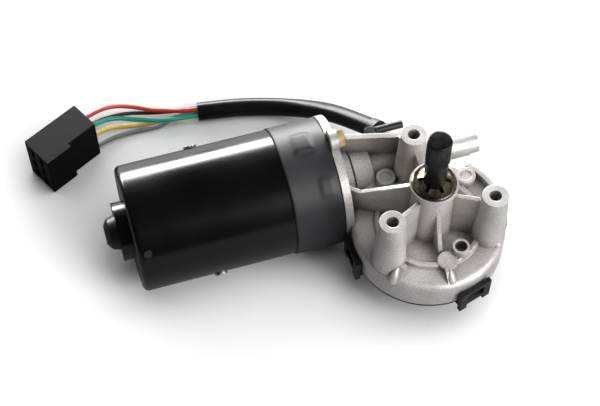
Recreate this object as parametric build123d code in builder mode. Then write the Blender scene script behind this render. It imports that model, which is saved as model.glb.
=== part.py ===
from build123d import *
import os
from math import atan, cos, degrees, pi, radians, sin, tan

# Worm-drive windscreen wiper motor.  Millimetres.
# The origin is on the output shaft's axis, in the plane of the three mounting
# faces.  +Z runs out along the output shaft, +X from the motor can towards the
# end of the worm tube, and +Y towards the side where the worm runs.

os.makedirs("parts", exist_ok=True)

# ---------------------------------------------------------------- driving sizes
# Mounting posts and output hub
POST_PCD = 72.0
POST_ANGLES = (90.0, 210.0, 330.0)
POST_FACE_DIA = 15.4
POST_BASE_DIA = 20.6
POST_HOLE_DIA = 7.2
POST_HOLE_DEPTH = 22.0
HUB_TOP = 1.0
HUB_DIA = 25.0
HUB_BASE_DIA = 27.0
HUB_RIM_DIA = 28.4
HUB_RIM_HEIGHT = 3.0

# Gear pan
PAN_DIA = 93.0
PAN_WALL = 2.5
PAN_SHOULDER_Z = -42.0
PAN_BOTTOM_Z = -61.0
PAN_EDGE_RADIUS = 4.0
RIDGE_IN_DIA = 57.0
RIDGE_WIDTH = 5.0
ridge_out_r = RIDGE_IN_DIA / 2 + RIDGE_WIDTH
RIDGE_RISE = 2.5
FLOOR_DROP = 2.5
RIB_THICKNESS = 2.6

# Worm gear
GEAR_MODULE = 1.5
WHEEL_TEETH = 56
WORM_PITCH_DIA = 17.0
PRESSURE_ANGLE = 20.0
TOOTH_BACKLASH = 0.5
WHEEL_WIDTH = 8.0
WHEEL_TOP_GAP = 0.7
WORM_HALF_LENGTH = 14.0

# Output shaft
SHAFT_DIA = 13.2
SPLINE_DIA = 14.2
SPLINE_TEETH = 36
SPLINE_DEPTH = 0.45
SPLINE_BOTTOM_Z = 15.0
SPLINE_TOP_Z = 36.0
SHAFT_TOP_Z = 44.0
SHAFT_TIP_RADIUS = 3.2
BUSH_OUTER_DIA = 18.0
BUSH_LENGTH = 14.0
RUNNING_FIT = 0.02
FACE_GAP = 0.3

# Motor can
MOTOR_Z = -49.0
YOKE_DIA = 78.0
YOKE_WALL = 2.4
YOKE_LENGTH = 126.0
FLANGE_X = -48.0
FLANGE_DIA = 80.0
FLANGE_THICKNESS = 5.0
SLEEVE_LENGTH = 31.0
SLEEVE_WALL = 0.8
END_BOSS_DIA = 36.0
END_BOSS_LENGTH = 7.0
END_CAP_DIA = 22.0
END_CAP_LENGTH = 7.5
LUG_ANGLES = (90.0, 318.0)
LUG_RADIUS = 41.5
LUG_DIA = 13.0
TIE_SCREW_DIA = 6.0
TIE_HEAD_FLATS = 10.0
TIE_HEAD_HEIGHT = 4.5
POLE_ANGLE = 32.0
POLE_SCREW_DIA = 5.0
POLE_X = -126.0

# Armature
ARMATURE_DIA = 51.0
ARMATURE_LENGTH = 48.0
ARMATURE_SLOTS = 12
AIR_GAP = 1.2
JOURNAL_DIA = 8.0
ROTOR_SHAFT_DIA = 10.0
TIP_JOURNAL_DIA = 7.0
COMMUTATOR_DIA = 26.0
COMMUTATOR_LENGTH = 18.0
COMMUTATOR_END_X = -66.0

# Worm tube on the gear housing
NECK_DIA = 35.0
NECK_LENGTH = 8.0
COLLAR_DIA = 32.0
COLLAR_START_X = -33.5
COLLAR_LENGTH = 11.5
TUBE_DIA = 23.8
TUBE_END_X = 27.0
STUB_DIA = 13.5
STUB_END_X = 43.5

# Cover
COVER_THICKNESS = 2.4
GASKET_THICKNESS = 0.6
CLIP_ANGLES = (-73.0, 24.0, 181.5)
CLIP_WIDTH = 22.0
CLIP_THICKNESS = 2.8
CLIP_TOP_Z = -51.0
CLIP_LEG = 5.0
CLIP_BAR = 3.2

# Floor level on which the loose lead lies
FLOOR_Z = -89.0

# ---------------------------------------------------------------- derived sizes
pan_r = PAN_DIA / 2
pan_inner_r = pan_r - PAN_WALL
ceiling_z = PAN_SHOULDER_Z - PAN_WALL
floor_z = PAN_SHOULDER_Z - FLOOR_DROP
inner_ceiling_z = floor_z - PAN_WALL
ridge_z = PAN_SHOULDER_Z + RIDGE_RISE

wheel_pitch_r = GEAR_MODULE * WHEEL_TEETH / 2
worm_pitch_r = WORM_PITCH_DIA / 2
MOTOR_Y = wheel_pitch_r + worm_pitch_r
tooth_addendum = 0.9 * GEAR_MODULE
tooth_dedendum = 1.15 * GEAR_MODULE
axial_pitch = pi * GEAR_MODULE
lead_angle = degrees(atan(axial_pitch / (pi * WORM_PITCH_DIA)))
wheel_tip_r = wheel_pitch_r + tooth_addendum
wheel_root_r = wheel_pitch_r - tooth_dedendum
worm_tip_r = worm_pitch_r + tooth_addendum
worm_root_r = worm_pitch_r - tooth_dedendum
wheel_top_z = ceiling_z - WHEEL_TOP_GAP
wheel_bottom_z = wheel_top_z - WHEEL_WIDTH

yoke_r = YOKE_DIA / 2
yoke_inner_r = yoke_r - YOKE_WALL
yoke_end_x = FLANGE_X - YOKE_LENGTH
gear_face_x = FLANGE_X + FLANGE_THICKNESS
bush_outer_r = BUSH_OUTER_DIA / 2
shaft_r = SHAFT_DIA / 2

MOTOR = Plane(origin=(0, MOTOR_Y, MOTOR_Z), x_dir=(1, 0, 0), z_dir=(0, -1, 0))
MOTOR_AXIS = Axis((0, MOTOR_Y, MOTOR_Z), (1, 0, 0))


def station(x):
    """Plane across the motor axis at x, with its own X along +Y and Y along +Z."""
    return Plane(origin=(x, MOTOR_Y, MOTOR_Z), x_dir=(0, 1, 0), z_dir=(1, 0, 0))


def radial(angle):
    """Upright plane through the output axis: X runs outwards at angle, Y is up."""
    a = radians(angle)
    return Plane(origin=(0, 0, 0), x_dir=(cos(a), sin(a), 0), z_dir=(sin(a), -cos(a), 0))


def on_circle(radius, angle):
    """Point at radius and angle in a flat sketch."""
    return (radius * cos(radians(angle)), radius * sin(radians(angle)))


def spoke(x, angle):
    """Plane at x whose Z points outwards from the motor axis at angle."""
    a = radians(angle)
    return Plane(origin=(x, MOTOR_Y, MOTOR_Z), x_dir=(1, 0, 0), z_dir=(0, cos(a), sin(a)))


def save(part, label):
    """Label a finished piece and write its STEP file."""
    part.label = label
    export_step(part, f"parts/{label}.step")


# ================================================================ gear housing
SEAL_DIA = 25.4
SEAL_SEAT_Z = -1.5
HUB_RECESS_DIA = 26.2
FRONT_BUSH_DIA = 20.0
FRONT_BUSH_LENGTH = 8.0
TIP_BUSH_DIA = 11.0
TIP_BUSH_LENGTH = 11.0
TIP_BUSH_X = 22.0
THRUST_SCREW_DIA = 8.0
WORM_BORE_GAP = 0.4
worm_bore_r = worm_tip_r + WORM_BORE_GAP
VENT_RADIUS = 28.0
VENT_ANGLE = -67.7
VENT_TOP_Z = -34.0
VENT_DIA = 10.2
VENT_HOLE_DIA = 7.4
VENT_HOLE_DEPTH = 8.0
PAD_POINT = (1.2, -30.3)
PAD_DIA = 12.4
PAD_TOP_Z = -38.8
BOSS_POINTS = ((-16.0, 34.4), (31.2, 21.5))
BOSS_DIA = 11.8
BOSS_TOP_Z = -36.0
BOSS_RECESS_DIA = 7.0
FIN_ANGLES = (227.0, 268.0, 328.0)
FIN_INNER_R = 36.0
FIN_TOP_Z = -37.0
FIN_THICKNESS = 3.4
RAIL_START = (-47.0, 62.0)
RAIL_END = (0.0, 50.5)
RAIL_TOP_Z = -20.0
RAIL_THICKNESS = 3.6

with BuildPart() as gear_housing:
    # pan, ridge and hub turned about the output axis
    with BuildSketch(Plane.XZ) as pan_profile:
        with BuildLine():
            Polyline(
                (0, HUB_TOP),
                (HUB_RIM_DIA / 2, HUB_TOP),
                (HUB_RIM_DIA / 2, HUB_TOP - HUB_RIM_HEIGHT),
                (HUB_DIA / 2, HUB_TOP - HUB_RIM_HEIGHT - 1.5),
                (HUB_BASE_DIA / 2, floor_z),
                (RIDGE_IN_DIA / 2, floor_z),
                (RIDGE_IN_DIA / 2 + 1.0, ridge_z),
                (ridge_out_r - 1.0, ridge_z),
                (ridge_out_r, PAN_SHOULDER_Z),
                (pan_r, PAN_SHOULDER_Z),
                (pan_r, PAN_BOTTOM_Z),
                (0, PAN_BOTTOM_Z),
                close=True,
            )
        make_face()
        shoulder = pan_profile.vertices().group_by(Axis.X)[-1].sort_by(Axis.Y)[-1]
        fillet(shoulder, PAN_EDGE_RADIUS)
        crest = pan_profile.vertices().filter_by_position(Axis.Y, ridge_z - 0.1, ridge_z + 0.1)
        fillet(crest, RIDGE_RISE / 3)
    revolve(axis=Axis.Z)

    # flange, neck, collar, worm tube and its end stub along the motor axis
    with BuildSketch(MOTOR):
        with BuildLine():
            Polyline(
                (FLANGE_X, 0),
                (FLANGE_X, FLANGE_DIA / 2),
                (gear_face_x, FLANGE_DIA / 2),
                (gear_face_x, NECK_DIA / 2),
                (gear_face_x + NECK_LENGTH, NECK_DIA / 2),
                (gear_face_x + NECK_LENGTH, COLLAR_DIA / 2 - 1.5),
                (COLLAR_START_X, COLLAR_DIA / 2 - 1.5),
                (COLLAR_START_X, COLLAR_DIA / 2),
                (COLLAR_START_X + COLLAR_LENGTH, COLLAR_DIA / 2),
                (COLLAR_START_X + COLLAR_LENGTH, TUBE_DIA / 2),
                (TUBE_END_X, TUBE_DIA / 2),
                (TUBE_END_X + 4, STUB_DIA / 2),
                (STUB_END_X, STUB_DIA / 2),
                (STUB_END_X, 0),
                close=True,
            )
        make_face()
    revolve(axis=MOTOR_AXIS)
    with BuildSketch(station(FLANGE_X)):
        for angle in LUG_ANGLES:
            with Locations(on_circle(LUG_RADIUS, angle)):
                Circle(LUG_DIA / 2)
            with Locations(on_circle(LUG_RADIUS - LUG_DIA / 2, angle)):
                Rectangle(LUG_DIA, LUG_DIA, rotation=angle)
    extrude(amount=FLANGE_THICKNESS)

    # three tapered mounting posts
    with Locations([(*on_circle(POST_PCD / 2, a), 0) for a in POST_ANGLES]):
        Cone(
            POST_BASE_DIA / 2,
            POST_FACE_DIA / 2,
            -PAN_SHOULDER_Z + 1,
            align=(Align.CENTER, Align.CENTER, Align.MAX),
        )

    # webs from the hub to the posts, highest at the post
    for angle, hub_z, post_z in ((90, -10, -9), (210, -6.8, -3.5), (330, -8, -7)):
        with BuildSketch(radial(angle)):
            with BuildLine():
                Polyline(
                    (HUB_DIA / 2 - 2, hub_z),
                    (POST_PCD / 2 - 4, post_z),
                    (POST_PCD / 2 - 4, ceiling_z),
                    (HUB_DIA / 2 - 2, ceiling_z),
                    close=True,
                )
            make_face()
        extrude(amount=RIB_THICKNESS / 2, both=True)

    # long rib from the hub down to the flange
    with BuildSketch(radial(150)):
        with BuildLine():
            Polyline(
                (HUB_DIA / 2 - 2, -4.0),
                (42.5, -24.0),
                (50.0, -22.0),
                (50.0, ceiling_z),
                (HUB_DIA / 2 - 2, ceiling_z),
                close=True,
            )
        make_face()
    extrude(amount=RIB_THICKNESS / 2, both=True)

    # gusset on the front of the hub, and small fins on the pan's shoulder
    with BuildSketch(radial(268)):
        with BuildLine():
            Polyline(
                (HUB_DIA / 2 - 1, -12.0),
                (19.0, -30.0),
                (24.0, PAN_SHOULDER_Z),
                (24.0, ceiling_z),
                (HUB_DIA / 2 - 1, ceiling_z),
                close=True,
            )
        make_face()
    extrude(amount=RIB_THICKNESS / 2, both=True)
    for angle in FIN_ANGLES:
        with BuildSketch(radial(angle)):
            with BuildLine():
                Polyline(
                    (FIN_INNER_R, FIN_TOP_Z),
                    (FIN_INNER_R + 3.0, FIN_TOP_Z),
                    (pan_r - 0.6, PAN_SHOULDER_Z - PAN_EDGE_RADIUS / 2),
                    (FIN_INNER_R, PAN_SHOULDER_Z - PAN_EDGE_RADIUS / 2),
                    close=True,
                )
            make_face()
        extrude(amount=FIN_THICKNESS / 2, both=True)

    # breather boss, flat ejector pad and the two screw bosses beside the tube
    with BuildSketch(Plane.XY.offset(VENT_TOP_Z)):
        with Locations(on_circle(VENT_RADIUS, VENT_ANGLE)):
            Circle(VENT_DIA / 2)
    extrude(amount=floor_z - 1 - VENT_TOP_Z)
    with BuildSketch(Plane.XY.offset(PAD_TOP_Z)):
        with Locations(PAD_POINT):
            Circle(PAD_DIA / 2)
    extrude(amount=floor_z - 1 - PAD_TOP_Z)
    with BuildSketch(Plane.XY.offset(BOSS_TOP_Z)):
        with Locations(*BOSS_POINTS):
            Circle(BOSS_DIA / 2)
    extrude(amount=ceiling_z - BOSS_TOP_Z)

    # slanting rail between flange and rear post, standing on the worm tube
    rail_run = Vector(*RAIL_END) - Vector(*RAIL_START)
    rail_plane = Plane(
        origin=(*RAIL_START, 0),
        x_dir=rail_run,
        z_dir=(rail_run.Y, -rail_run.X, 0),
    )
    with BuildSketch(rail_plane):
        with BuildLine():
            Polyline(
                (0, RAIL_TOP_Z),
                (rail_run.length, RAIL_TOP_Z),
                (rail_run.length + 8, MOTOR_Z + 9),
                (rail_run.length + 8, MOTOR_Z),
                (0, MOTOR_Z),
                close=True,
            )
        make_face()
    extrude(amount=RAIL_THICKNESS / 2, both=True)
    # web from the rail to the rear post
    with BuildSketch(Plane.YZ.offset(-1.0)):
        with BuildLine():
            Polyline(
                (POST_PCD / 2 + 4, RAIL_TOP_Z + 4),
                (RAIL_END[1], RAIL_TOP_Z),
                (RAIL_END[1], MOTOR_Z),
                (POST_PCD / 2 + 4, MOTOR_Z),
                close=True,
            )
        make_face()
    extrude(amount=RIB_THICKNESS, both=True)
    # low rim wall between the right post and the worm tube
    with BuildSketch(Plane.XY.offset(ceiling_z)):
        Circle(pan_r)
        Circle(pan_r - 3.0, mode=Mode.SUBTRACT)
        with BuildLine():
            Polyline((0, 0), on_circle(1.5 * pan_r, -22), on_circle(1.5 * pan_r, 40), close=True)
        make_face(mode=Mode.INTERSECT)
    extrude(amount=BOSS_TOP_Z - ceiling_z)

    # snap lugs for the cover's clips
    snap_top_z = CLIP_TOP_Z - CLIP_BAR - FACE_GAP
    for angle in CLIP_ANGLES:
        with BuildSketch(radial(angle)):
            with BuildLine():
                Polyline(
                    (pan_r - 1, snap_top_z),
                    (pan_r + 2.2, snap_top_z),
                    (pan_r + 0.6, snap_top_z - 4.3),
                    (pan_r - 1, snap_top_z - 4.3),
                    close=True,
                )
            make_face()
        extrude(amount=CLIP_WIDTH / 2 - CLIP_LEG - FACE_GAP, both=True)

    # gear chamber
    with BuildSketch(Plane.XZ):
        with BuildLine():
            Polyline(
                (0, PAN_BOTTOM_Z - 2),
                (pan_inner_r, PAN_BOTTOM_Z - 2),
                (pan_inner_r, ceiling_z),
                (ridge_out_r + 1.0, ceiling_z),
                (ridge_out_r - 0.5, inner_ceiling_z),
                (0, inner_ceiling_z),
                close=True,
            )
        make_face()
    revolve(axis=Axis.Z, mode=Mode.SUBTRACT)
    # stepped output bore
    with BuildSketch(Plane.XY.offset(SEAL_SEAT_Z)):
        Circle(HUB_RECESS_DIA / 2)
    extrude(amount=HUB_TOP - SEAL_SEAT_Z + 1, mode=Mode.SUBTRACT)
    with BuildSketch(Plane.XY.offset(SEAL_SEAT_Z)):
        Circle(bush_outer_r)
    extrude(amount=inner_ceiling_z - 1, mode=Mode.SUBTRACT)
    # stepped worm bore: front bush seat, worm space, tip bush seat, thrust screw
    with BuildSketch(MOTOR):
        with BuildLine():
            Polyline(
                (FLANGE_X - 1, 0),
                (FLANGE_X - 1, FRONT_BUSH_DIA / 2),
                (FLANGE_X + FRONT_BUSH_LENGTH, FRONT_BUSH_DIA / 2),
                (FLANGE_X + FRONT_BUSH_LENGTH, ROTOR_SHAFT_DIA / 2 + 1),
                (-WORM_HALF_LENGTH - 5, ROTOR_SHAFT_DIA / 2 + 1),
                (-WORM_HALF_LENGTH - 5, worm_bore_r),
                (TIP_BUSH_X - 2, worm_bore_r),
                (TIP_BUSH_X, TIP_BUSH_DIA / 2),
                (TIP_BUSH_X + TIP_BUSH_LENGTH, TIP_BUSH_DIA / 2),
                (TIP_BUSH_X + TIP_BUSH_LENGTH, THRUST_SCREW_DIA / 2),
                (STUB_END_X + 1, THRUST_SCREW_DIA / 2),
                (STUB_END_X + 1, 0),
                close=True,
            )
        make_face()
    revolve(axis=MOTOR_AXIS, mode=Mode.SUBTRACT)
    # blind screw holes in the posts, the breather hole and the boss recesses
    with Locations([(*on_circle(POST_PCD / 2, a), 0) for a in POST_ANGLES]):
        Hole(POST_HOLE_DIA / 2, depth=POST_HOLE_DEPTH)
    with Locations((*on_circle(VENT_RADIUS, VENT_ANGLE), VENT_TOP_Z)):
        Hole(VENT_HOLE_DIA / 2, depth=VENT_HOLE_DEPTH)
    with Locations(*[(x, y, BOSS_TOP_Z) for x, y in BOSS_POINTS]):
        Hole(BOSS_RECESS_DIA / 2, depth=0.5)
    # screw holes through the flange lugs
    with BuildSketch(station(FLANGE_X - 1)):
        for angle in LUG_ANGLES:
            with Locations(on_circle(LUG_RADIUS, angle)):
                Circle(TIE_SCREW_DIA / 2)
    extrude(amount=FLANGE_THICKNESS + 2, mode=Mode.SUBTRACT)
save(gear_housing.part, "gear_housing")


# ============================================================ output shaft group
shaft_bottom_z = wheel_bottom_z - 0.6
hub_seat_dia = SHAFT_DIA - 1.2
THRUST_THICKNESS = 0.8
wheel_web_top_z = inner_ceiling_z - THRUST_THICKNESS
WHEEL_HUB_DIA = 26.0
WHEEL_RIM_CLEARANCE = 2.5
wheel_rim_inner_r = ridge_out_r + WHEEL_RIM_CLEARANCE
WHEEL_WEB = 3.0

with BuildPart() as output_shaft:
    with BuildSketch(Plane.XZ) as shaft_profile:
        with BuildLine():
            Polyline(
                (0, shaft_bottom_z),
                (hub_seat_dia / 2, shaft_bottom_z),
                (hub_seat_dia / 2, wheel_web_top_z),
                (shaft_r, wheel_web_top_z),
                (shaft_r, SPLINE_BOTTOM_Z - 0.8),
                (SPLINE_DIA / 2, SPLINE_BOTTOM_Z),
                (SPLINE_DIA / 2, SPLINE_TOP_Z),
                (shaft_r, SPLINE_TOP_Z + 1.0),
                (shaft_r, SHAFT_TOP_Z),
                (0, SHAFT_TOP_Z),
                close=True,
            )
        make_face()
        tip = shaft_profile.vertices().group_by(Axis.Y)[-1].sort_by(Axis.X)[-1]
        fillet(tip, SHAFT_TIP_RADIUS)
    revolve(axis=Axis.Z)
    # serrations: narrow V grooves between flat-topped lands
    with BuildSketch(Plane.XY.offset(SPLINE_BOTTOM_Z - 1)):
        with PolarLocations(SPLINE_DIA / 2, SPLINE_TEETH):
            with BuildLine():
                Polyline((-SPLINE_DEPTH, 0), (0.2, -0.14), (0.2, 0.14), close=True)
            make_face()
    extrude(amount=SPLINE_TOP_Z - SPLINE_BOTTOM_Z + 2, mode=Mode.SUBTRACT)
save(output_shaft.part, "output_shaft")

with BuildPart() as worm_wheel:
    tooth_pitch = 360 / WHEEL_TEETH
    # flank angles of one tooth at root, pitch and tip circles
    pitch_half = degrees((axial_pitch / 2 - TOOTH_BACKLASH) / 2 / wheel_pitch_r)
    flank_tan = tan(radians(PRESSURE_ANGLE))
    tip_half = pitch_half - degrees(tooth_addendum * flank_tan / wheel_tip_r)
    root_half = pitch_half + degrees(tooth_dedendum * flank_tan / wheel_root_r)
    # the teeth follow the worm's lead across the width of the rim
    twist_per_mm = degrees(tan(radians(lead_angle)) / wheel_pitch_r)

    def gear_section(z):
        """Toothed outline of the wheel at height z."""
        turn = 90 + (z - MOTOR_Z) * twist_per_mm
        with BuildSketch(Plane.XY.offset(z)) as section:
            with BuildLine():
                corners = []
                for tooth in range(WHEEL_TEETH):
                    centre = turn + tooth * tooth_pitch
                    corners += [
                        on_circle(wheel_root_r, centre - root_half),
                        on_circle(wheel_tip_r, centre - tip_half),
                        on_circle(wheel_tip_r, centre + tip_half),
                        on_circle(wheel_root_r, centre + root_half),
                    ]
                Polyline(*corners, close=True)
            make_face()
        return section.sketch

    loft([gear_section(wheel_bottom_z), gear_section(wheel_top_z)], ruled=True)
    # recessed web between rim and hub, and the shaft bore
    with BuildSketch(Plane.XY.offset(wheel_top_z + 1)):
        Circle(wheel_rim_inner_r)
    extrude(amount=wheel_web_top_z - wheel_top_z - 1, mode=Mode.SUBTRACT)
    with BuildSketch(Plane.XY.offset(wheel_bottom_z - 1)):
        Circle(wheel_rim_inner_r)
        Circle(WHEEL_HUB_DIA / 2, mode=Mode.SUBTRACT)
    extrude(amount=wheel_web_top_z - WHEEL_WEB - wheel_bottom_z + 1, mode=Mode.SUBTRACT)
    with BuildSketch(Plane.XY.offset(wheel_bottom_z - 1)):
        Circle(hub_seat_dia / 2)
    extrude(amount=WHEEL_WIDTH + 2, mode=Mode.SUBTRACT)
save(worm_wheel.part, "worm_wheel")

# brass park disc on the wheel's underside, with the notch that ends each sweep
DISC_THICKNESS = 0.8
DISC_EDGE_GAP = 1.0
disc_outer_r = wheel_rim_inner_r - DISC_EDGE_GAP
DISC_INNER_DIA = 30.0
with BuildPart() as park_disc:
    with BuildSketch(Plane.XY.offset(wheel_web_top_z - WHEEL_WEB - DISC_THICKNESS)):
        Circle(disc_outer_r)
        Circle(DISC_INNER_DIA / 2, mode=Mode.SUBTRACT)
        with Locations((disc_outer_r - 5, 0)):
            Rectangle(12, 8, mode=Mode.SUBTRACT)
    extrude(amount=DISC_THICKNESS)
save(park_disc.part, "park_disc")

with BuildPart() as thrust_washer:
    with BuildSketch(Plane.XY.offset(wheel_web_top_z)):
        Circle(WHEEL_HUB_DIA / 2)
        Circle(shaft_r + 0.1, mode=Mode.SUBTRACT)
    extrude(amount=THRUST_THICKNESS - FACE_GAP)
save(thrust_washer.part, "thrust_washer")

# dished star washer that holds the shaft up against the hub
WASHER_THICKNESS = 0.8
WASHER_Z = 1.6
WASHER_DIA = 26.0
WASHER_RING_WIDTH = 2.6
WASHER_FINGERS = 6
WASHER_SLOT_INNER = 2.0
WASHER_SLOT_OUTER = 2.6
WASHER_SLOT_ANGLE = 40.0
FINGER_RISE = 1.4
with BuildPart() as star_washer:
    ring_in_r = WASHER_DIA / 2 - WASHER_RING_WIDTH
    with BuildSketch(Plane.XZ):
        with BuildLine():
            Polyline(
                (shaft_r, WASHER_Z + FINGER_RISE),
                (ring_in_r, WASHER_Z),
                (WASHER_DIA / 2, WASHER_Z),
                (WASHER_DIA / 2, WASHER_Z + WASHER_THICKNESS),
                (ring_in_r, WASHER_Z + WASHER_THICKNESS),
                (shaft_r, WASHER_Z + FINGER_RISE + WASHER_THICKNESS),
                close=True,
            )
        make_face()
    revolve(axis=Axis.Z)
    # slots between the fingers
    with BuildSketch(Plane.XY.offset(WASHER_Z - 1)):
        with PolarLocations(0, WASHER_FINGERS, start_angle=WASHER_SLOT_ANGLE):
            with BuildLine():
                Polyline(
                    (shaft_r - 1, -WASHER_SLOT_INNER / 2),
                    (ring_in_r, -WASHER_SLOT_OUTER / 2),
                    (ring_in_r, WASHER_SLOT_OUTER / 2),
                    (shaft_r - 1, WASHER_SLOT_INNER / 2),
                    close=True,
                )
            make_face()
    extrude(amount=5, mode=Mode.SUBTRACT)
save(star_washer.part, "star_washer")

with BuildPart() as shaft_seal:
    with BuildSketch(Plane.XY.offset(SEAL_SEAT_Z)):
        Circle(SEAL_DIA / 2)
        Circle(shaft_r + FACE_GAP, mode=Mode.SUBTRACT)
    extrude(amount=WASHER_Z - SEAL_SEAT_Z - FACE_GAP)
save(shaft_seal.part, "shaft_seal")

bush_tops = {"output_bush_upper": SEAL_SEAT_Z, "output_bush_lower": inner_ceiling_z + BUSH_LENGTH}
for label, top_z in bush_tops.items():
    with BuildPart() as output_bush:
        with BuildSketch(Plane.XY.offset(top_z)):
            Circle(bush_outer_r)
            Circle(shaft_r + RUNNING_FIT, mode=Mode.SUBTRACT)
        extrude(amount=-BUSH_LENGTH)
    save(output_bush.part, label)

# ================================================================== motor can
yoke_cavity_end_x = yoke_end_x + YOKE_WALL
pocket_end_x = yoke_end_x - END_BOSS_LENGTH
CAP_STEM_DIA = 12.0
STAKE_ANGLES = (82.5, 262.5)
STAKE_SPAN = 21.0
STAKE_X = -69.0
STAKE_LENGTH = 11.0
STAKE_RISE = 0.9
STAKE_MARGIN = 1.2
DRAIN_ANGLE = 147.0
DRAIN_DIA = 5.0



def stake_sector(angle, inner_r, outer_r, margin=0.0):
    """Face of one staked pad's ring sector, seen along the can."""
    span = STAKE_SPAN + 2 * margin
    start = angle - span / 2
    with BuildSketch(Plane.XY) as sector:
        with BuildLine():
            CenterArc((0, 0), inner_r, start, span)
            CenterArc((0, 0), outer_r, start, span)
            Line(on_circle(inner_r, start), on_circle(outer_r, start))
            Line(on_circle(inner_r, start + span), on_circle(outer_r, start + span))
        make_face()
    return sector.sketch


with BuildPart() as yoke:
    with BuildSketch(MOTOR) as yoke_profile:
        with BuildLine():
            Polyline(
                (pocket_end_x, CAP_STEM_DIA / 2),
                (pocket_end_x, END_BOSS_DIA / 2),
                (yoke_end_x, END_BOSS_DIA / 2),
                (yoke_end_x, yoke_r),
                (FLANGE_X, yoke_r),
                (FLANGE_X, yoke_inner_r),
                (yoke_cavity_end_x, yoke_inner_r),
                (yoke_cavity_end_x, END_BOSS_DIA / 2 - YOKE_WALL),
                (pocket_end_x + YOKE_WALL, END_BOSS_DIA / 2 - YOKE_WALL),
                (pocket_end_x + YOKE_WALL, CAP_STEM_DIA / 2),
                close=True,
            )
        make_face()
        rims = yoke_profile.vertices()
        outer_rim = rims.filter_by_position(Axis.X, yoke_end_x - 0.1, yoke_end_x + 0.1)
        fillet(outer_rim.sort_by(Axis.Y)[-1], 3.5)
        pocket_rim = rims.filter_by_position(Axis.X, pocket_end_x - 0.1, pocket_end_x + 0.1)
        fillet(pocket_rim.sort_by(Axis.Y)[-1], 2.2)
    revolve(axis=MOTOR_AXIS)
    # raised pads where the can is staked to the flange's spigot
    with BuildSketch(station(STAKE_X)):
        for angle in STAKE_ANGLES:
            add(stake_sector(angle, yoke_r - YOKE_WALL / 2, yoke_r + STAKE_RISE))
    extrude(amount=STAKE_LENGTH)
    # pole screw holes, and the drain hole low in the closed end
    for angle in (POLE_ANGLE, POLE_ANGLE + 180):
        with BuildSketch(spoke(POLE_X, angle)):
            Circle(POLE_SCREW_DIA / 2)
        extrude(amount=yoke_r + 1, mode=Mode.SUBTRACT)
save(yoke.part, "yoke")

# rubber sleeve over the joint of can and flange, lifted by the staked pads
with BuildPart() as seal_sleeve:
    with BuildSketch(station(FLANGE_X - SLEEVE_LENGTH)):
        Circle(yoke_r + SLEEVE_WALL)
        Circle(yoke_r, mode=Mode.SUBTRACT)
    extrude(amount=SLEEVE_LENGTH)
    with BuildSketch(station(STAKE_X - SLEEVE_WALL)):
        for angle in STAKE_ANGLES:
            add(
                stake_sector(
                    angle,
                    yoke_r + SLEEVE_WALL / 2,
                    yoke_r + STAKE_RISE + SLEEVE_WALL,
                    margin=STAKE_MARGIN,
                )
            )
    extrude(amount=STAKE_LENGTH + 2 * SLEEVE_WALL)
    with BuildSketch(station(STAKE_X)):
        for angle in STAKE_ANGLES:
            add(stake_sector(angle, yoke_r - SLEEVE_WALL, yoke_r + STAKE_RISE))
    extrude(amount=STAKE_LENGTH, mode=Mode.SUBTRACT)
save(seal_sleeve.part, "seal_sleeve")

# rubber dome plugged into the bearing pocket
with BuildPart() as yoke_end_cap:
    with BuildSketch(MOTOR) as cap_profile:
        with BuildLine():
            cap_tip_x = pocket_end_x - END_CAP_LENGTH
            Polyline(
                (pocket_end_x + YOKE_WALL, 0),
                (pocket_end_x + YOKE_WALL, CAP_STEM_DIA / 2),
                (pocket_end_x, CAP_STEM_DIA / 2),
                (pocket_end_x, END_CAP_DIA / 2),
                (cap_tip_x + 2.5, END_CAP_DIA / 2 - 1.5),
                (cap_tip_x, END_CAP_DIA / 2 - 5),
                (cap_tip_x, 0),
                close=True,
            )
        make_face()
        fillet(cap_profile.vertices().group_by(Axis.X)[1], 2.0)
    revolve(axis=MOTOR_AXIS)
save(yoke_end_cap.part, "yoke_end_cap")

# short rubber drain nipple low on the rim of the can
with BuildPart() as drain_nipple:
    with BuildSketch(spoke(yoke_end_x + 6.0, DRAIN_ANGLE)):
        Circle(DRAIN_DIA / 2)
    extrude(amount=yoke_r + 1.2)
    with BuildSketch(station(yoke_end_x - 1)):
        Circle(yoke_r)
    extrude(amount=14, mode=Mode.SUBTRACT)
save(drain_nipple.part, "drain_nipple")

# hexagon screws in the tapped lugs of the flange
with BuildPart() as tie_screws:
    with BuildSketch(station(gear_face_x)):
        for angle in LUG_ANGLES:
            with Locations(on_circle(LUG_RADIUS, angle)):
                RegularPolygon(TIE_HEAD_FLATS / 2, 6, major_radius=False)
    extrude(amount=TIE_HEAD_HEIGHT)
    chamfer(tie_screws.faces().sort_by(Axis.X)[-2:].edges(), 0.6)
    with BuildSketch(station(FLANGE_X + 0.5)):
        for angle in LUG_ANGLES:
            with Locations(on_circle(LUG_RADIUS, angle)):
                Circle(TIE_SCREW_DIA / 2)
    extrude(amount=FLANGE_THICKNESS - 0.5)
save(tie_screws.part, "tie_screws")

# =============================================================== field and rotor
armature_r = ARMATURE_DIA / 2
pole_face_r = armature_r + AIR_GAP
SHOE_THICKNESS = 2.5
SHOE_SPAN = 55.0
POLE_WIDTH = 20.0
POLE_HEAD_DIA = 8.0
POLE_HEAD_RISE = 1.4
COIL_INNER_R = pole_face_r + SHOE_THICKNESS + 0.3
COIL_OUTER_R = yoke_inner_r - 0.5
COIL_SPAN = 50.0
COIL_OVERHANG = 6.0
core_left_x = POLE_X - ARMATURE_LENGTH / 2
core_right_x = POLE_X + ARMATURE_LENGTH / 2

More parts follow.
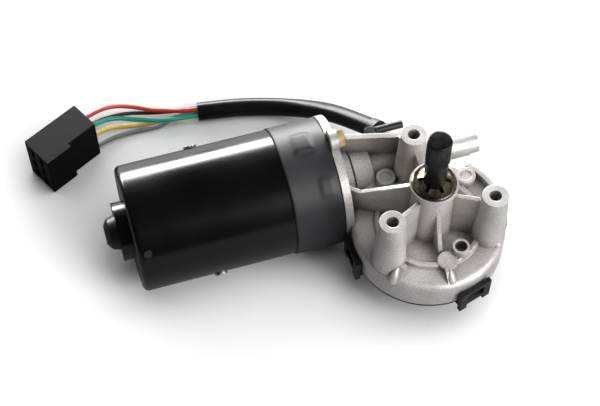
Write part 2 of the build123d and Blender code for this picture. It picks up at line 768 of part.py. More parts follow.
with BuildPart() as field_poles:
    for turn in (POLE_ANGLE, POLE_ANGLE + 180):
        # curved shoe beside the armature
        with BuildSketch(station(core_left_x)):
            Circle(pole_face_r + SHOE_THICKNESS)
            Circle(pole_face_r, mode=Mode.SUBTRACT)
            with BuildLine():
                Polyline(
                    (0, 0),
                    on_circle(1.6 * yoke_r, turn - SHOE_SPAN),
                    on_circle(2.1 * yoke_r, turn),
                    on_circle(1.6 * yoke_r, turn + SHOE_SPAN),
                    close=True,
                )
            make_face(mode=Mode.INTERSECT)
        extrude(amount=ARMATURE_LENGTH)
        # block that carries it against the can
        with BuildSketch(station(core_left_x)):
            with Locations(on_circle((pole_face_r + 1 + yoke_inner_r) / 2, turn)):
                Rectangle(yoke_inner_r - pole_face_r - 1, POLE_WIDTH, rotation=turn)
        extrude(amount=ARMATURE_LENGTH)
    with BuildSketch(station(core_left_x - 1)):
        Circle(yoke_r + 5)
        Circle(yoke_inner_r, mode=Mode.SUBTRACT)
    extrude(amount=ARMATURE_LENGTH + 2, mode=Mode.SUBTRACT)
    for turn in (POLE_ANGLE, POLE_ANGLE + 180):
        with BuildSketch(spoke(POLE_X, turn)):
            Circle(POLE_SCREW_DIA / 2)
        extrude(amount=yoke_r, mode=Mode.SUBTRACT)
save(field_poles.part, "field_poles")

with BuildPart() as field_coils:
    for turn in (POLE_ANGLE, POLE_ANGLE + 180):
        with BuildSketch(station(core_left_x - COIL_OVERHANG)):
            Circle(COIL_OUTER_R)
            Circle(COIL_INNER_R, mode=Mode.SUBTRACT)
            with BuildLine():
                Polyline(
                    (0, 0),
                    on_circle(1.6 * yoke_r, turn - COIL_SPAN),
                    on_circle(2.1 * yoke_r, turn),
                    on_circle(1.6 * yoke_r, turn + COIL_SPAN),
                    close=True,
                )
            make_face(mode=Mode.INTERSECT)
        extrude(amount=ARMATURE_LENGTH + 2 * COIL_OVERHANG)
    for turn in (POLE_ANGLE, POLE_ANGLE + 180):
        with BuildSketch(spoke(POLE_X, turn)):
            Rectangle(ARMATURE_LENGTH, POLE_WIDTH)
        extrude(amount=yoke_r, mode=Mode.SUBTRACT)
save(field_coils.part, "field_coils")

with BuildPart() as pole_screws:
    for turn in (POLE_ANGLE, POLE_ANGLE + 180):
        with BuildSketch(spoke(POLE_X, turn).offset(pole_face_r + SHOE_THICKNESS)):
            Circle(POLE_SCREW_DIA / 2)
        extrude(amount=yoke_r - pole_face_r - SHOE_THICKNESS + 0.5)
        with BuildSketch(spoke(POLE_X, turn).offset(yoke_r)):
            Circle(POLE_HEAD_DIA / 2)
        extrude(amount=POLE_HEAD_RISE)
        with BuildSketch(spoke(POLE_X, turn).offset(yoke_r + POLE_HEAD_RISE / 2)):
            Rectangle(1.4, POLE_HEAD_DIA + 1)
        extrude(amount=POLE_HEAD_RISE, mode=Mode.SUBTRACT)
save(pole_screws.part, "pole_screws")

SLOT_WIDTH = 3.0
SLOT_MOUTH = 1.4
SLOT_INNER_R = 14.0
SLOT_OUTER_R = 23.5
END_TURN_INNER_R = 10.0
END_TURN_OUTER_R = 23.5
END_TURN_LENGTH = 11.0
RISER_LENGTH = 2.5
RISER_HEIGHT = 1.5

# armature shaft with the worm cut on its free end
END_BUSH_LENGTH = 8.0
END_BUSH_DIA = 16.0
end_bush_x = pocket_end_x + YOKE_WALL + 0.6
WORM_TURNS = int(2 * WORM_HALF_LENGTH / axial_pitch)
THREAD_STEPS = 14
with BuildPart() as armature_shaft:
    with BuildSketch(MOTOR):
        with BuildLine():
            Polyline(
                (end_bush_x, 0),
                (end_bush_x, JOURNAL_DIA / 2),
                (end_bush_x + END_BUSH_LENGTH + 1, JOURNAL_DIA / 2),
                (end_bush_x + END_BUSH_LENGTH + 1, ROTOR_SHAFT_DIA / 2),
                (-WORM_HALF_LENGTH - 2, ROTOR_SHAFT_DIA / 2),
                (-WORM_HALF_LENGTH - 1, worm_root_r),
                (WORM_HALF_LENGTH + 1, worm_root_r),
                (WORM_HALF_LENGTH + 2, ROTOR_SHAFT_DIA / 2),
                (TIP_BUSH_X - 1.5, ROTOR_SHAFT_DIA / 2),
                (TIP_BUSH_X - 1.5, TIP_JOURNAL_DIA / 2),
                (TIP_BUSH_X + TIP_BUSH_LENGTH, TIP_JOURNAL_DIA / 2),
                (TIP_BUSH_X + TIP_BUSH_LENGTH, 0),
                close=True,
            )
        make_face()
    revolve(axis=MOTOR_AXIS)
    # single right-hand thread; its gap faces the wheel at x = 0
    thread_half_pitch = (axial_pitch / 2 - TOOTH_BACKLASH) / 2
    thread_half_root = thread_half_pitch + tooth_dedendum * flank_tan
    thread_half_tip = thread_half_pitch - tooth_addendum * flank_tan
    sections = []
    for step in range(int(WORM_TURNS * THREAD_STEPS) + 1):
        turns = step / THREAD_STEPS - WORM_TURNS / 2
        around = radians(360 * turns)
        section_plane = Plane(
            origin=(turns * axial_pitch, MOTOR_Y, MOTOR_Z),
            x_dir=(1, 0, 0),
            z_dir=(0, -sin(around), cos(around)),
        )
        with BuildSketch(section_plane) as section:
            with BuildLine():
                Polyline(
                    (-thread_half_root, worm_root_r - 0.2),
                    (-thread_half_tip, worm_tip_r),
                    (thread_half_tip, worm_tip_r),
                    (thread_half_root, worm_root_r - 0.2),
                    close=True,
                )
            make_face()
        sections.append(section.sketch)
    loft(sections, ruled=True)
save(armature_shaft.part, "armature_shaft")

with BuildPart() as armature_core:
    with BuildSketch(station(core_left_x)):
        Circle(armature_r)
        Circle(ROTOR_SHAFT_DIA / 2, mode=Mode.SUBTRACT)
        with PolarLocations((SLOT_INNER_R + SLOT_OUTER_R) / 2, ARMATURE_SLOTS):
            Rectangle(SLOT_OUTER_R - SLOT_INNER_R, SLOT_WIDTH, mode=Mode.SUBTRACT)
        with PolarLocations(armature_r, ARMATURE_SLOTS):
            Rectangle(8, SLOT_MOUTH, mode=Mode.SUBTRACT)
    extrude(amount=ARMATURE_LENGTH)
save(armature_core.part, "armature_core")

# end turns at both ends of the core, joined by the conductors in the slots
with BuildPart() as armature_windings:
    for side_x, outward in ((core_left_x, -1), (core_right_x, 1)):
        with BuildSketch(MOTOR) as end_turns:
            with BuildLine():
                Polyline(
                    (side_x, END_TURN_INNER_R),
                    (side_x, END_TURN_OUTER_R),
                    (side_x + outward * END_TURN_LENGTH, END_TURN_OUTER_R),
                    (side_x + outward * END_TURN_LENGTH, END_TURN_INNER_R),
                    close=True,
                )
            make_face()
            far_corners = end_turns.vertices().sort_by(Axis.X)[-2:]
            if outward < 0:
                far_corners = end_turns.vertices().sort_by(Axis.X)[:2]
            fillet(far_corners, END_TURN_LENGTH / 3)
        revolve(axis=MOTOR_AXIS)
    with BuildSketch(station(core_left_x)):
        with PolarLocations((SLOT_INNER_R + SLOT_OUTER_R) / 2, ARMATURE_SLOTS):
            Rectangle(SLOT_OUTER_R - SLOT_INNER_R - 0.4, SLOT_WIDTH - 0.4)
    extrude(amount=ARMATURE_LENGTH)
save(armature_windings.part, "armature_windings")

with BuildPart() as commutator:
    commutator_x = COMMUTATOR_END_X - COMMUTATOR_LENGTH
    with BuildSketch(station(commutator_x)):
        Circle(COMMUTATOR_DIA / 2)
        Circle(ROTOR_SHAFT_DIA / 2, mode=Mode.SUBTRACT)
        with PolarLocations(COMMUTATOR_DIA / 2, ARMATURE_SLOTS):
            Rectangle(2.0, 0.6, mode=Mode.SUBTRACT)
    extrude(amount=COMMUTATOR_LENGTH)
    # riser bars that the coil ends are welded to
    with BuildSketch(station(commutator_x - RISER_LENGTH)):
        Circle(COMMUTATOR_DIA / 2 + RISER_HEIGHT)
        Circle(ROTOR_SHAFT_DIA / 2, mode=Mode.SUBTRACT)
    extrude(amount=RISER_LENGTH)
save(commutator.part, "commutator")

# ============================================================= bearings and brushes
THRUST_PAD_LENGTH = 3.0
thrust_pad_x = TIP_BUSH_X + TIP_BUSH_LENGTH + FACE_GAP
BRUSH_ANGLES = (POLE_ANGLE + 90, POLE_ANGLE + 270)
BRUSH_LENGTH = 10.0
BRUSH_WIDTH = 6.0
BRUSH_HEIGHT = 11.0
BRUSH_CLEARANCE = 0.2
HOLDER_WALL = 1.0
HOLDER_LENGTH = 13.0
HOLDER_INNER_R = 15.0
HOLDER_OUTER_R = 33.0
PLATE_THICKNESS = 3.0
PILLAR_RADIUS = 30.0
PILLAR_DIA = 7.0
BRUSH_TRAVEL = 0.8
SPRING_STRIP = 0.5
SPRING_FOLDS = 4
SPRING_HALF_SPAN = 4.0
SPRING_WIDTH = 4.0

bushes = {
    "front_bush": (FLANGE_X, FRONT_BUSH_LENGTH, FRONT_BUSH_DIA, ROTOR_SHAFT_DIA),
    "tip_bush": (TIP_BUSH_X, TIP_BUSH_LENGTH, TIP_BUSH_DIA, TIP_JOURNAL_DIA),
    "end_bush": (end_bush_x, END_BUSH_LENGTH, END_BUSH_DIA, JOURNAL_DIA),
}
for label, (start_x, length, outer_dia, shaft_dia) in bushes.items():
    with BuildPart() as bush:
        with BuildSketch(station(start_x)):
            Circle(outer_dia / 2)
            Circle(shaft_dia / 2 + RUNNING_FIT, mode=Mode.SUBTRACT)
        extrude(amount=length)
    save(bush.part, label)

# pressed ring that centres the end bush in the can's pocket
with BuildPart() as bush_retainer:
    with BuildSketch(station(end_bush_x + END_BUSH_LENGTH / 2 - 1)):
        Circle(END_BOSS_DIA / 2 - YOKE_WALL)
        Circle(END_BUSH_DIA / 2, mode=Mode.SUBTRACT)
    extrude(amount=2)
save(bush_retainer.part, "bush_retainer")

# hardened pad and set screw that take the worm's end thrust
with BuildPart() as thrust_pad:
    with BuildSketch(station(thrust_pad_x)):
        Circle(THRUST_SCREW_DIA / 2)
    extrude(amount=THRUST_PAD_LENGTH)
save(thrust_pad.part, "thrust_pad")

with BuildPart() as thrust_screw:
    with BuildSketch(station(thrust_pad_x + THRUST_PAD_LENGTH)):
        Circle(THRUST_SCREW_DIA / 2)
    extrude(amount=STUB_END_X - 0.5 - thrust_pad_x - THRUST_PAD_LENGTH)
    with BuildSketch(station(STUB_END_X)):
        RegularPolygon(2.0, 6, major_radius=False)
    extrude(amount=-3.5, mode=Mode.SUBTRACT)
save(thrust_screw.part, "thrust_screw")

brush_x = COMMUTATOR_END_X - COMMUTATOR_LENGTH / 2
plate_x = brush_x + HOLDER_LENGTH / 2
with BuildPart() as brush_plate:
    with BuildSketch(station(plate_x)):
        Circle(yoke_inner_r - FACE_GAP)
        Circle(COMMUTATOR_DIA / 2 + 2.5, mode=Mode.SUBTRACT)
    extrude(amount=PLATE_THICKNESS)
    # pillars that stand the plate off the flange
    with BuildSketch(station(plate_x + PLATE_THICKNESS)):
        with PolarLocations(PILLAR_RADIUS, 3, start_angle=20):
            Circle(PILLAR_DIA / 2)
    extrude(amount=FLANGE_X - plate_x - PLATE_THICKNESS)
save(brush_plate.part, "brush_plate")

# channel holders, closed at their outer ends by the spring seat
with BuildPart() as brush_holders:
    for angle in BRUSH_ANGLES:
        with BuildSketch(spoke(brush_x, angle).offset(HOLDER_INNER_R)):
            Rectangle(HOLDER_LENGTH, BRUSH_WIDTH + 2 * HOLDER_WALL + 2 * BRUSH_CLEARANCE)
        extrude(amount=HOLDER_OUTER_R - HOLDER_INNER_R)
    for angle in BRUSH_ANGLES:
        with BuildSketch(spoke(brush_x, angle).offset(HOLDER_INNER_R)):
            Rectangle(BRUSH_LENGTH + 2 * BRUSH_CLEARANCE, BRUSH_WIDTH + 2 * BRUSH_CLEARANCE)
        extrude(amount=HOLDER_OUTER_R - HOLDER_INNER_R - HOLDER_WALL, mode=Mode.SUBTRACT)
save(brush_holders.part, "brush_holders")

brush_back_r = COMMUTATOR_DIA / 2 + FACE_GAP + BRUSH_HEIGHT
for label, angle in zip(("brush_positive", "brush_negative"), BRUSH_ANGLES):
    with BuildPart() as brush:
        with BuildSketch(spoke(brush_x, angle).offset(COMMUTATOR_DIA / 2 - 2)):
            Rectangle(BRUSH_LENGTH, BRUSH_WIDTH)
        extrude(amount=brush_back_r - COMMUTATOR_DIA / 2 + 2)
        with BuildSketch(station(brush_x - BRUSH_LENGTH)):
            Circle(COMMUTATOR_DIA / 2 + FACE_GAP)
        extrude(amount=2 * BRUSH_LENGTH, mode=Mode.SUBTRACT)
    save(brush.part, label)

# folded strip springs on the seats at the ends of the holders
spring_start_r = brush_back_r + BRUSH_TRAVEL
spring_rise = (HOLDER_OUTER_R - HOLDER_WALL - spring_start_r - SPRING_STRIP) / SPRING_FOLDS
with BuildPart() as brush_springs:
    for angle in BRUSH_ANGLES:
        a = radians(angle)
        spring_plane = Plane(
            origin=(
                brush_x,
                MOTOR_Y + (spring_start_r + SPRING_STRIP / 2) * cos(a),
                MOTOR_Z + (spring_start_r + SPRING_STRIP / 2) * sin(a),
            ),
            x_dir=(1, 0, 0),
            z_dir=(0, -sin(a), cos(a)),
        )
        with BuildSketch(spring_plane):
            with BuildLine():
                folds = []
                for fold in range(SPRING_FOLDS + 1):
                    side = SPRING_HALF_SPAN * (-1) ** fold
                    folds.append((side, fold * spring_rise))
                    folds.append((-side, fold * spring_rise))
                FilletPolyline(*folds, radius=0.45 * spring_rise)
            trace(line_width=SPRING_STRIP)
        extrude(amount=SPRING_WIDTH / 2, both=True)
save(brush_springs.part, "brush_springs")

# ===================================================================== gear cover
COVER_INSET = 0.8
TONGUE_X = -8.0
TONGUE_WIDTH = 24.0
TONGUE_END_Y = 82.0
CLIP_FOOT = 4.0
CONTACT_RADII = (20.0, 26.0, 32.0)
CONTACT_ANGLES = (250.0, 262.0, 274.0)
CONTACT_STRIP = 0.6
CONTACT_WIDTH = 3.0

cover_top_z = PAN_BOTTOM_Z - GASKET_THICKNESS
cover_bottom_z = cover_top_z - COVER_THICKNESS

with BuildPart() as cover_gasket:
    with BuildSketch(Plane.XY.offset(cover_top_z)):
        Circle(pan_r - COVER_INSET)
        Circle(pan_inner_r, mode=Mode.SUBTRACT)
    extrude(amount=GASKET_THICKNESS)
    with BuildSketch(station(yoke_end_x)):
        Circle(FLANGE_DIA / 2 + FACE_GAP)
    extrude(amount=gear_face_x + FACE_GAP - yoke_end_x, mode=Mode.SUBTRACT)
    with BuildSketch(station(gear_face_x)):
        Circle(COLLAR_DIA / 2 + FACE_GAP)
    extrude(amount=COLLAR_START_X + COLLAR_LENGTH + FACE_GAP - gear_face_x, mode=Mode.SUBTRACT)
save(cover_gasket.part, "cover_gasket")

with BuildPart() as gear_cover:
    clip_in_r = pan_r + FACE_GAP
    with BuildSketch(Plane.XY.offset(cover_bottom_z)):
        Circle(pan_r - COVER_INSET)
        with Locations((TONGUE_X, TONGUE_END_Y / 2)):
            Rectangle(TONGUE_WIDTH, TONGUE_END_Y)
        for angle in CLIP_ANGLES:
            with Locations(Location((*on_circle(clip_in_r, angle), 0), angle)):
                Rectangle(2 * CLIP_THICKNESS, CLIP_WIDTH)
    extrude(amount=COVER_THICKNESS)
    # n-shaped clips that snap over the housing's lugs
    for angle in CLIP_ANGLES:
        with BuildSketch(Plane.XY.offset(cover_bottom_z - CLIP_FOOT)):
            with Locations(Location((*on_circle(clip_in_r + CLIP_THICKNESS / 2, angle), 0), angle)):
                Rectangle(CLIP_THICKNESS, CLIP_WIDTH)
        extrude(amount=CLIP_TOP_Z - cover_bottom_z + CLIP_FOOT)
    for angle in CLIP_ANGLES:
        with BuildSketch(Plane.XY.offset(cover_top_z)):
            with Locations(Location((*on_circle(clip_in_r, angle), 0), angle)):
                Rectangle(4 * CLIP_THICKNESS, CLIP_WIDTH - 2 * CLIP_LEG)
        extrude(amount=CLIP_TOP_Z - CLIP_BAR - cover_top_z, mode=Mode.SUBTRACT)
        with BuildSketch(Plane.XY.offset(cover_bottom_z - CLIP_FOOT)):
            with Locations(Location((*on_circle(clip_in_r, angle), 0), angle)):
                Rectangle(4 * CLIP_THICKNESS, CLIP_WIDTH - 2 * CLIP_LEG)
        extrude(amount=CLIP_FOOT, mode=Mode.SUBTRACT)
    # the pan wall stands clear inside the clips
    with BuildSketch(Plane.XY.offset(cover_top_z)):
        Circle(clip_in_r)
    extrude(amount=CLIP_TOP_Z - cover_top_z + 1, mode=Mode.SUBTRACT)
    # the flange and the worm tube's collar pass the cover's rim
    with BuildSketch(station(yoke_end_x)):
        Circle(FLANGE_DIA / 2 + FACE_GAP)
    extrude(amount=gear_face_x + FACE_GAP - yoke_end_x, mode=Mode.SUBTRACT)
    with BuildSketch(station(gear_face_x)):
        Circle(COLLAR_DIA / 2 + FACE_GAP)
    extrude(amount=COLLAR_START_X + COLLAR_LENGTH + FACE_GAP - gear_face_x, mode=Mode.SUBTRACT)
save(gear_cover.part, "gear_cover")

# three sprung contact fingers on the cover, just under the park disc
disc_bottom_z = wheel_web_top_z - WHEEL_WEB - DISC_THICKNESS
with BuildPart() as park_contacts:
    for radius, angle in zip(CONTACT_RADII, CONTACT_ANGLES):
        with BuildSketch(radial(angle)):
            with BuildLine():
                finger_top_z = disc_bottom_z - FACE_GAP
                Polyline(
                    (radius - 7, cover_top_z),
                    (radius + 3, cover_top_z),
                    (radius + 3, cover_top_z + CONTACT_STRIP),
                    (radius - 5, cover_top_z + CONTACT_STRIP),
                    (radius + 1.5, finger_top_z),
                    (radius - 0.5, finger_top_z),
                    (radius - 7, cover_top_z + CONTACT_STRIP),
                    close=True,
                )
            make_face()
        extrude(amount=CONTACT_WIDTH / 2, both=True)
save(park_contacts.part, "park_contacts")

# ================================================================== cable and plug
GROMMET_X = -14.2
GROMMET_Y = 69.0
GROMMET_LENGTH = 7.0
GROMMET_DEPTH = 10.2
GROMMET_TOP_Z = -37.0
GROMMET_BOSS_DIA = 13.0
GROMMET_BOSS_LENGTH = 6.0
VENT_TUBE_DIA = 5.0
VENT_TUBE_BORE = 2.6
VENT_TUBE_LENGTH = 17.8
VENT_TUBE_CENTRE = (71.4, -40.0)

# routes of the loose lead, from the grommet to the plug
SLEEVE_DIA = 12.0
SLEEVE_ROUTE = [
    (-9.7, 78.2, -47.0),
    (-22.3, 102.0, -60.0),
    (-33.3, 118.8, -72.0),
    (-47.3, 131.8, -81.0),
    (-65.9, 139.7, -83.0),
    (-87.3, 145.0, -83.0),
    (-107.9, 147.8, -83.0),
]
WIRE_DIA = 3.0
WIRE_ROUTES = {
    "wire_red": [
        (-184.6, 153.3, -70.0),
        (-175.5, 158.1, -71.5),
        (-163.5, 163.0, -75.0),
        (-151.0, 162.0, -78.5),
        (-139.0, 156.8, -80.5),
        (-127.0, 152.8, -81.0),
        (-117.8, 149.1, -80.2),
        (-108.1, 147.8, -79.8),
    ],
    "wire_brown": [
        (-184.4, 152.9, -79.0),
        (-175.5, 157.6, -80.5),
        (-163.0, 161.0, -83.0),
        (-150.0, 161.5, -85.5),
        (-138.0, 158.5, -86.5),
        (-127.0, 155.5, -85.5),
        (-117.5, 152.2, -83.5),
        (-107.7, 151.0, -83.0),
    ],
    "wire_green": [
        (-182.3, 148.9, -74.5),
        (-173.5, 153.5, -76.5),
        (-162.0, 156.6, -80.0),
        (-150.0, 154.0, -83.5),
        (-138.5, 149.6, -83.2),
        (-127.0, 146.0, -82.5),
        (-118.2, 146.0, -83.0),
        (-108.6, 144.6, -83.0),
    ],
    "wire_yellow": [
        (-181.4, 147.1, -82.0),
        (-172.0, 152.0, -83.5),
        (-161.0, 153.3, -86.0),
        (-149.0, 151.6, -87.3),
        (-137.0, 150.3, -87.4),
        (-127.0, 151.2, -87.5),
        (-117.8, 149.1, -86.8),
        (-108.1, 147.8, -86.2),
    ],
    "wire_grey": [
        (-177.4, 139.6, -82.5),
        (-168.5, 144.3, -84.5),
        (-157.5, 147.0, -87.0),
        (-146.0, 147.0, -87.4),
        (-134.0, 146.5, -87.2),
        (-127.0, 148.6, -85.3),
        (-117.8, 149.1, -83.2),
        (-108.1, 147.8, -83.0),
    ],
}
CONNECTOR_CENTRE = (-199.1, 136.2)
CONNECTOR_YAW = 27.6
CONNECTOR_LENGTH = 41.0
CONNECTOR_WIDTH = 23.5
CONNECTOR_HEIGHT = 33.0
CONNECTOR_STEP = 3.0
TERMINAL_PITCH_Y = 8.5
TERMINAL_PITCH_Z = 10.0
CAVITY_WIDTH = 3.0
CAVITY_HEIGHT = 7.6
CAVITY_DEPTH = 14.0
TERMINAL_SLOT = 1.0
TERMINAL_SETBACK = 1.5


def corner_radii(route):
    """Arc at each inner point, as large as the two runs beside it leave room for."""
    points = [Vector(*point) for point in route]
    radii = []
    for before, corner, after in zip(points, points[1:], points[2:]):
        run_in, run_out = corner - before, after - corner
        half_turn = radians(run_in.get_angle(run_out)) / 2
        radii.append(0.45 * min(run_in.length, run_out.length) / tan(half_turn))
    return radii


# rubber grommet standing on the cover's tongue behind the worm tube
sleeve_start = Vector(*SLEEVE_ROUTE[0])
sleeve_heading = (Vector(*SLEEVE_ROUTE[1]) - sleeve_start).normalized()
with BuildPart() as cable_grommet:
    with BuildSketch(Plane.XY.offset(cover_top_z)):
        with Locations((GROMMET_X, GROMMET_Y)):
            RectangleRounded(GROMMET_LENGTH, GROMMET_DEPTH, 2.5)
    extrude(amount=GROMMET_TOP_Z - cover_top_z)
    chamfer(cable_grommet.faces().sort_by(Axis.Z)[-1].edges(), 1.2)
    # outlet boss square to the sleeve's first run
    with BuildSketch(Plane(origin=sleeve_start, z_dir=sleeve_heading)):
        Circle(GROMMET_BOSS_DIA / 2)
    extrude(amount=-GROMMET_BOSS_LENGTH)
    # seat of the breather tube
    with BuildSketch(Plane.YZ.offset(GROMMET_X + GROMMET_LENGTH / 2)):
        with Locations(VENT_TUBE_CENTRE):
            Circle(VENT_TUBE_DIA / 2)
    extrude(amount=VENT_TUBE_LENGTH, mode=Mode.SUBTRACT)
save(cable_grommet.part, "cable_grommet")

# breather tube that leaves the grommet beside the worm tube
with BuildPart() as vent_tube:
    with BuildSketch(Plane.YZ.offset(GROMMET_X + GROMMET_LENGTH / 2)):
        with Locations(VENT_TUBE_CENTRE):
            Circle(VENT_TUBE_DIA / 2)
            Circle(VENT_TUBE_BORE / 2, mode=Mode.SUBTRACT)
    extrude(amount=VENT_TUBE_LENGTH)
save(vent_tube.part, "vent_tube")

# the sleeve and the five wires of the loose lead
leads = {"cable_sleeve": (SLEEVE_ROUTE, SLEEVE_DIA)}
leads.update({label: (route, WIRE_DIA) for label, route in WIRE_ROUTES.items()})
for label, (route, diameter) in leads.items():
    radii = corner_radii(route)
    print(label, "smallest arc", round(min(radii) / diameter, 1), "diameters")
    with BuildPart() as lead:
        with BuildLine() as path:
            FilletPolyline(*route, radius=radii)
        with BuildSketch(path.line ^ 0):
            Circle(diameter / 2)
        sweep()
    save(lead.part, label)

# plug housing with a wider shroud round its mating end
plug_plane = Plane(
    origin=(*CONNECTOR_CENTRE, FLOOR_Z),
    x_dir=(cos(radians(CONNECTOR_YAW)), sin(radians(CONNECTOR_YAW)), 0),
    z_dir=(0, 0, 1),
)
with BuildPart() as connector_housing:
    with BuildSketch(plug_plane):
        RectangleRounded(CONNECTOR_LENGTH, CONNECTOR_WIDTH, 0.8)
    extrude(amount=CONNECTOR_HEIGHT)
    # the wire end is set back on the near side
    with BuildSketch(plug_plane):
        with Locations((CONNECTOR_LENGTH / 2, -CONNECTOR_WIDTH / 2)):
            Rectangle(CONNECTOR_LENGTH + 3, 2 * CONNECTOR_STEP)
    extrude(amount=CONNECTOR_HEIGHT, mode=Mode.SUBTRACT)
    # blind cavities for the terminals at the mating end
    mating_plane = Plane(
        origin=plug_plane.from_local_coords((-CONNECTOR_LENGTH / 2, 0, CONNECTOR_HEIGHT / 2)),
        x_dir=plug_plane.y_dir,
        z_dir=plug_plane.x_dir,
    )
    with BuildSketch(mating_plane):
        with GridLocations(TERMINAL_PITCH_Y, TERMINAL_PITCH_Z, 2, 3):
            Rectangle(CAVITY_WIDTH, CAVITY_HEIGHT)
    extrude(amount=CAVITY_DEPTH, mode=Mode.SUBTRACT)
save(connector_housing.part, "connector_housing")

# receptacle terminals seated at the bottom of the cavities
with BuildPart() as connector_terminals:
    with BuildSketch(mating_plane.offset(CAVITY_DEPTH)):
        with GridLocations(TERMINAL_PITCH_Y, TERMINAL_PITCH_Z, 2, 3):
            Rectangle(CAVITY_WIDTH - 2 * FACE_GAP, CAVITY_HEIGHT - 2 * FACE_GAP)
            Rectangle(TERMINAL_SLOT, CAVITY_HEIGHT - 6 * FACE_GAP, mode=Mode.SUBTRACT)
    extrude(amount=TERMINAL_SETBACK - CAVITY_DEPTH)
save(connector_terminals.part, "connector_terminals")
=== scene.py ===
import math

import bpy
from mathutils import Matrix, Vector


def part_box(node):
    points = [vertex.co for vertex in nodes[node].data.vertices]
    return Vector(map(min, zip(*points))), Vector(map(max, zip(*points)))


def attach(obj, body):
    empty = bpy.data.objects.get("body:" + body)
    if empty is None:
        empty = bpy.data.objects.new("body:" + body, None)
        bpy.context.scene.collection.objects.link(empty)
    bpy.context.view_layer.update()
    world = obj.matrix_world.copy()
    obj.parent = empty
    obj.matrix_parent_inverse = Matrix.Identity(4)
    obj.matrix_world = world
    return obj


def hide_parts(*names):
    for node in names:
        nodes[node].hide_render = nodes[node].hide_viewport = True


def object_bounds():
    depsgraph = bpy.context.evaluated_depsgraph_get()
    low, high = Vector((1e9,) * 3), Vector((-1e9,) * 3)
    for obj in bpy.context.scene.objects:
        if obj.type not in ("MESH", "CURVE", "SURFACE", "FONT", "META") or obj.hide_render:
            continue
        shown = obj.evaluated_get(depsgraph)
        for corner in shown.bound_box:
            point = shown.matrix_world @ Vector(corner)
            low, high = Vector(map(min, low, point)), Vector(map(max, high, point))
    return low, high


# Dressed model of the wiper motor, in metres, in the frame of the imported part: +Z runs out
# along the output shaft, +X from the can to the worm tube's end.

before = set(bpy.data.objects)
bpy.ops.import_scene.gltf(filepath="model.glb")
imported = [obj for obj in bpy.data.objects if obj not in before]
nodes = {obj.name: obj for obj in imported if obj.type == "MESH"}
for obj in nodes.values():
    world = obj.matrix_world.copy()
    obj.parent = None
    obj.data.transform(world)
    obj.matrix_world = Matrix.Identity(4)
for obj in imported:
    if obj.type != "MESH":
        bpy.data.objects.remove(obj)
cad_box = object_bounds()

BASE = "motor_base"
FLOOR_Z = cad_box[0][2]

# ---------------------------------------------------------------------- camera
# fitted to the photograph through the three post holes
CAMERA_PLACE = Vector((-0.20503, -0.41729, 0.70725))
CAMERA_YAW = math.radians(16.578)
CAMERA_TILT = math.radians(57.812)
SENSOR_WIDTH = 36.0
LENS = 87.55
CLIP_END = 20.0


def make_camera():
    forward = Vector((
        math.sin(CAMERA_YAW) * math.cos(CAMERA_TILT),
        math.cos(CAMERA_YAW) * math.cos(CAMERA_TILT),
        -math.sin(CAMERA_TILT),
    ))
    right = forward.cross(Vector((0, 0, 1))).normalized()
    up = right.cross(forward)
    data = bpy.data.cameras.new("camera")
    data.sensor_fit = "HORIZONTAL"
    data.sensor_width = SENSOR_WIDTH
    data.lens = LENS
    data.clip_end = CLIP_END
    camera = bpy.data.objects.new("camera", data)
    turn = Matrix((right, up, -forward)).transposed().to_4x4()
    camera.matrix_world = Matrix.Translation(CAMERA_PLACE) @ turn
    bpy.context.scene.collection.objects.link(camera)
    bpy.context.scene.camera = camera


make_camera()

# ----------------------------------------------------------------------- cords
# the routes are those of part.py, in metres
SLEEVE_DIA = 0.012
SLEEVE_ROUTE = [
    (-0.0097, 0.0782, -0.047),
    (-0.0223, 0.1020, -0.060),
    (-0.0333, 0.1188, -0.072),
    (-0.0473, 0.1318, -0.081),
    (-0.0659, 0.1397, -0.083),
    (-0.0873, 0.1450, -0.083),
    (-0.1079, 0.1478, -0.083),
]
WIRE_DIA = 0.003
WIRE_ROUTES = {
    "wire_red": [
        (-0.1846, 0.1533, -0.0700),
        (-0.1755, 0.1581, -0.0715),
        (-0.1635, 0.1630, -0.0750),
        (-0.1510, 0.1620, -0.0785),
        (-0.1390, 0.1568, -0.0805),
        (-0.1270, 0.1528, -0.0810),
        (-0.1178, 0.1491, -0.0802),
        (-0.1081, 0.1478, -0.0798),
    ],
    "wire_brown": [
        (-0.1844, 0.1529, -0.0790),
        (-0.1755, 0.1576, -0.0805),
        (-0.1630, 0.1610, -0.0830),
        (-0.1500, 0.1615, -0.0855),
        (-0.1380, 0.1585, -0.0865),
        (-0.1270, 0.1555, -0.0855),
        (-0.1175, 0.1522, -0.0835),
        (-0.1077, 0.1510, -0.0830),
    ],
    "wire_green": [
        (-0.1823, 0.1489, -0.0745),
        (-0.1735, 0.1535, -0.0765),
        (-0.1620, 0.1566, -0.0800),
        (-0.1500, 0.1540, -0.0835),
        (-0.1385, 0.1496, -0.0832),
        (-0.1270, 0.1460, -0.0825),
        (-0.1182, 0.1460, -0.0830),
        (-0.1086, 0.1446, -0.0830),
    ],
    "wire_yellow": [
        (-0.1814, 0.1471, -0.0820),
        (-0.1720, 0.1520, -0.0835),
        (-0.1610, 0.1533, -0.0860),
        (-0.1490, 0.1516, -0.0873),
        (-0.1370, 0.1503, -0.0874),
        (-0.1270, 0.1512, -0.0875),
        (-0.1178, 0.1491, -0.0868),
        (-0.1081, 0.1478, -0.0862),
    ],
    "wire_grey": [
        (-0.1774, 0.1396, -0.0825),
        (-0.1685, 0.1443, -0.0845),
        (-0.1575, 0.1470, -0.0870),
        (-0.1460, 0.1470, -0.0874),
        (-0.1340, 0.1465, -0.0872),
        (-0.1270, 0.1486, -0.0853),
        (-0.1178, 0.1491, -0.0832),
        (-0.1081, 0.1478, -0.0830),
    ],
}


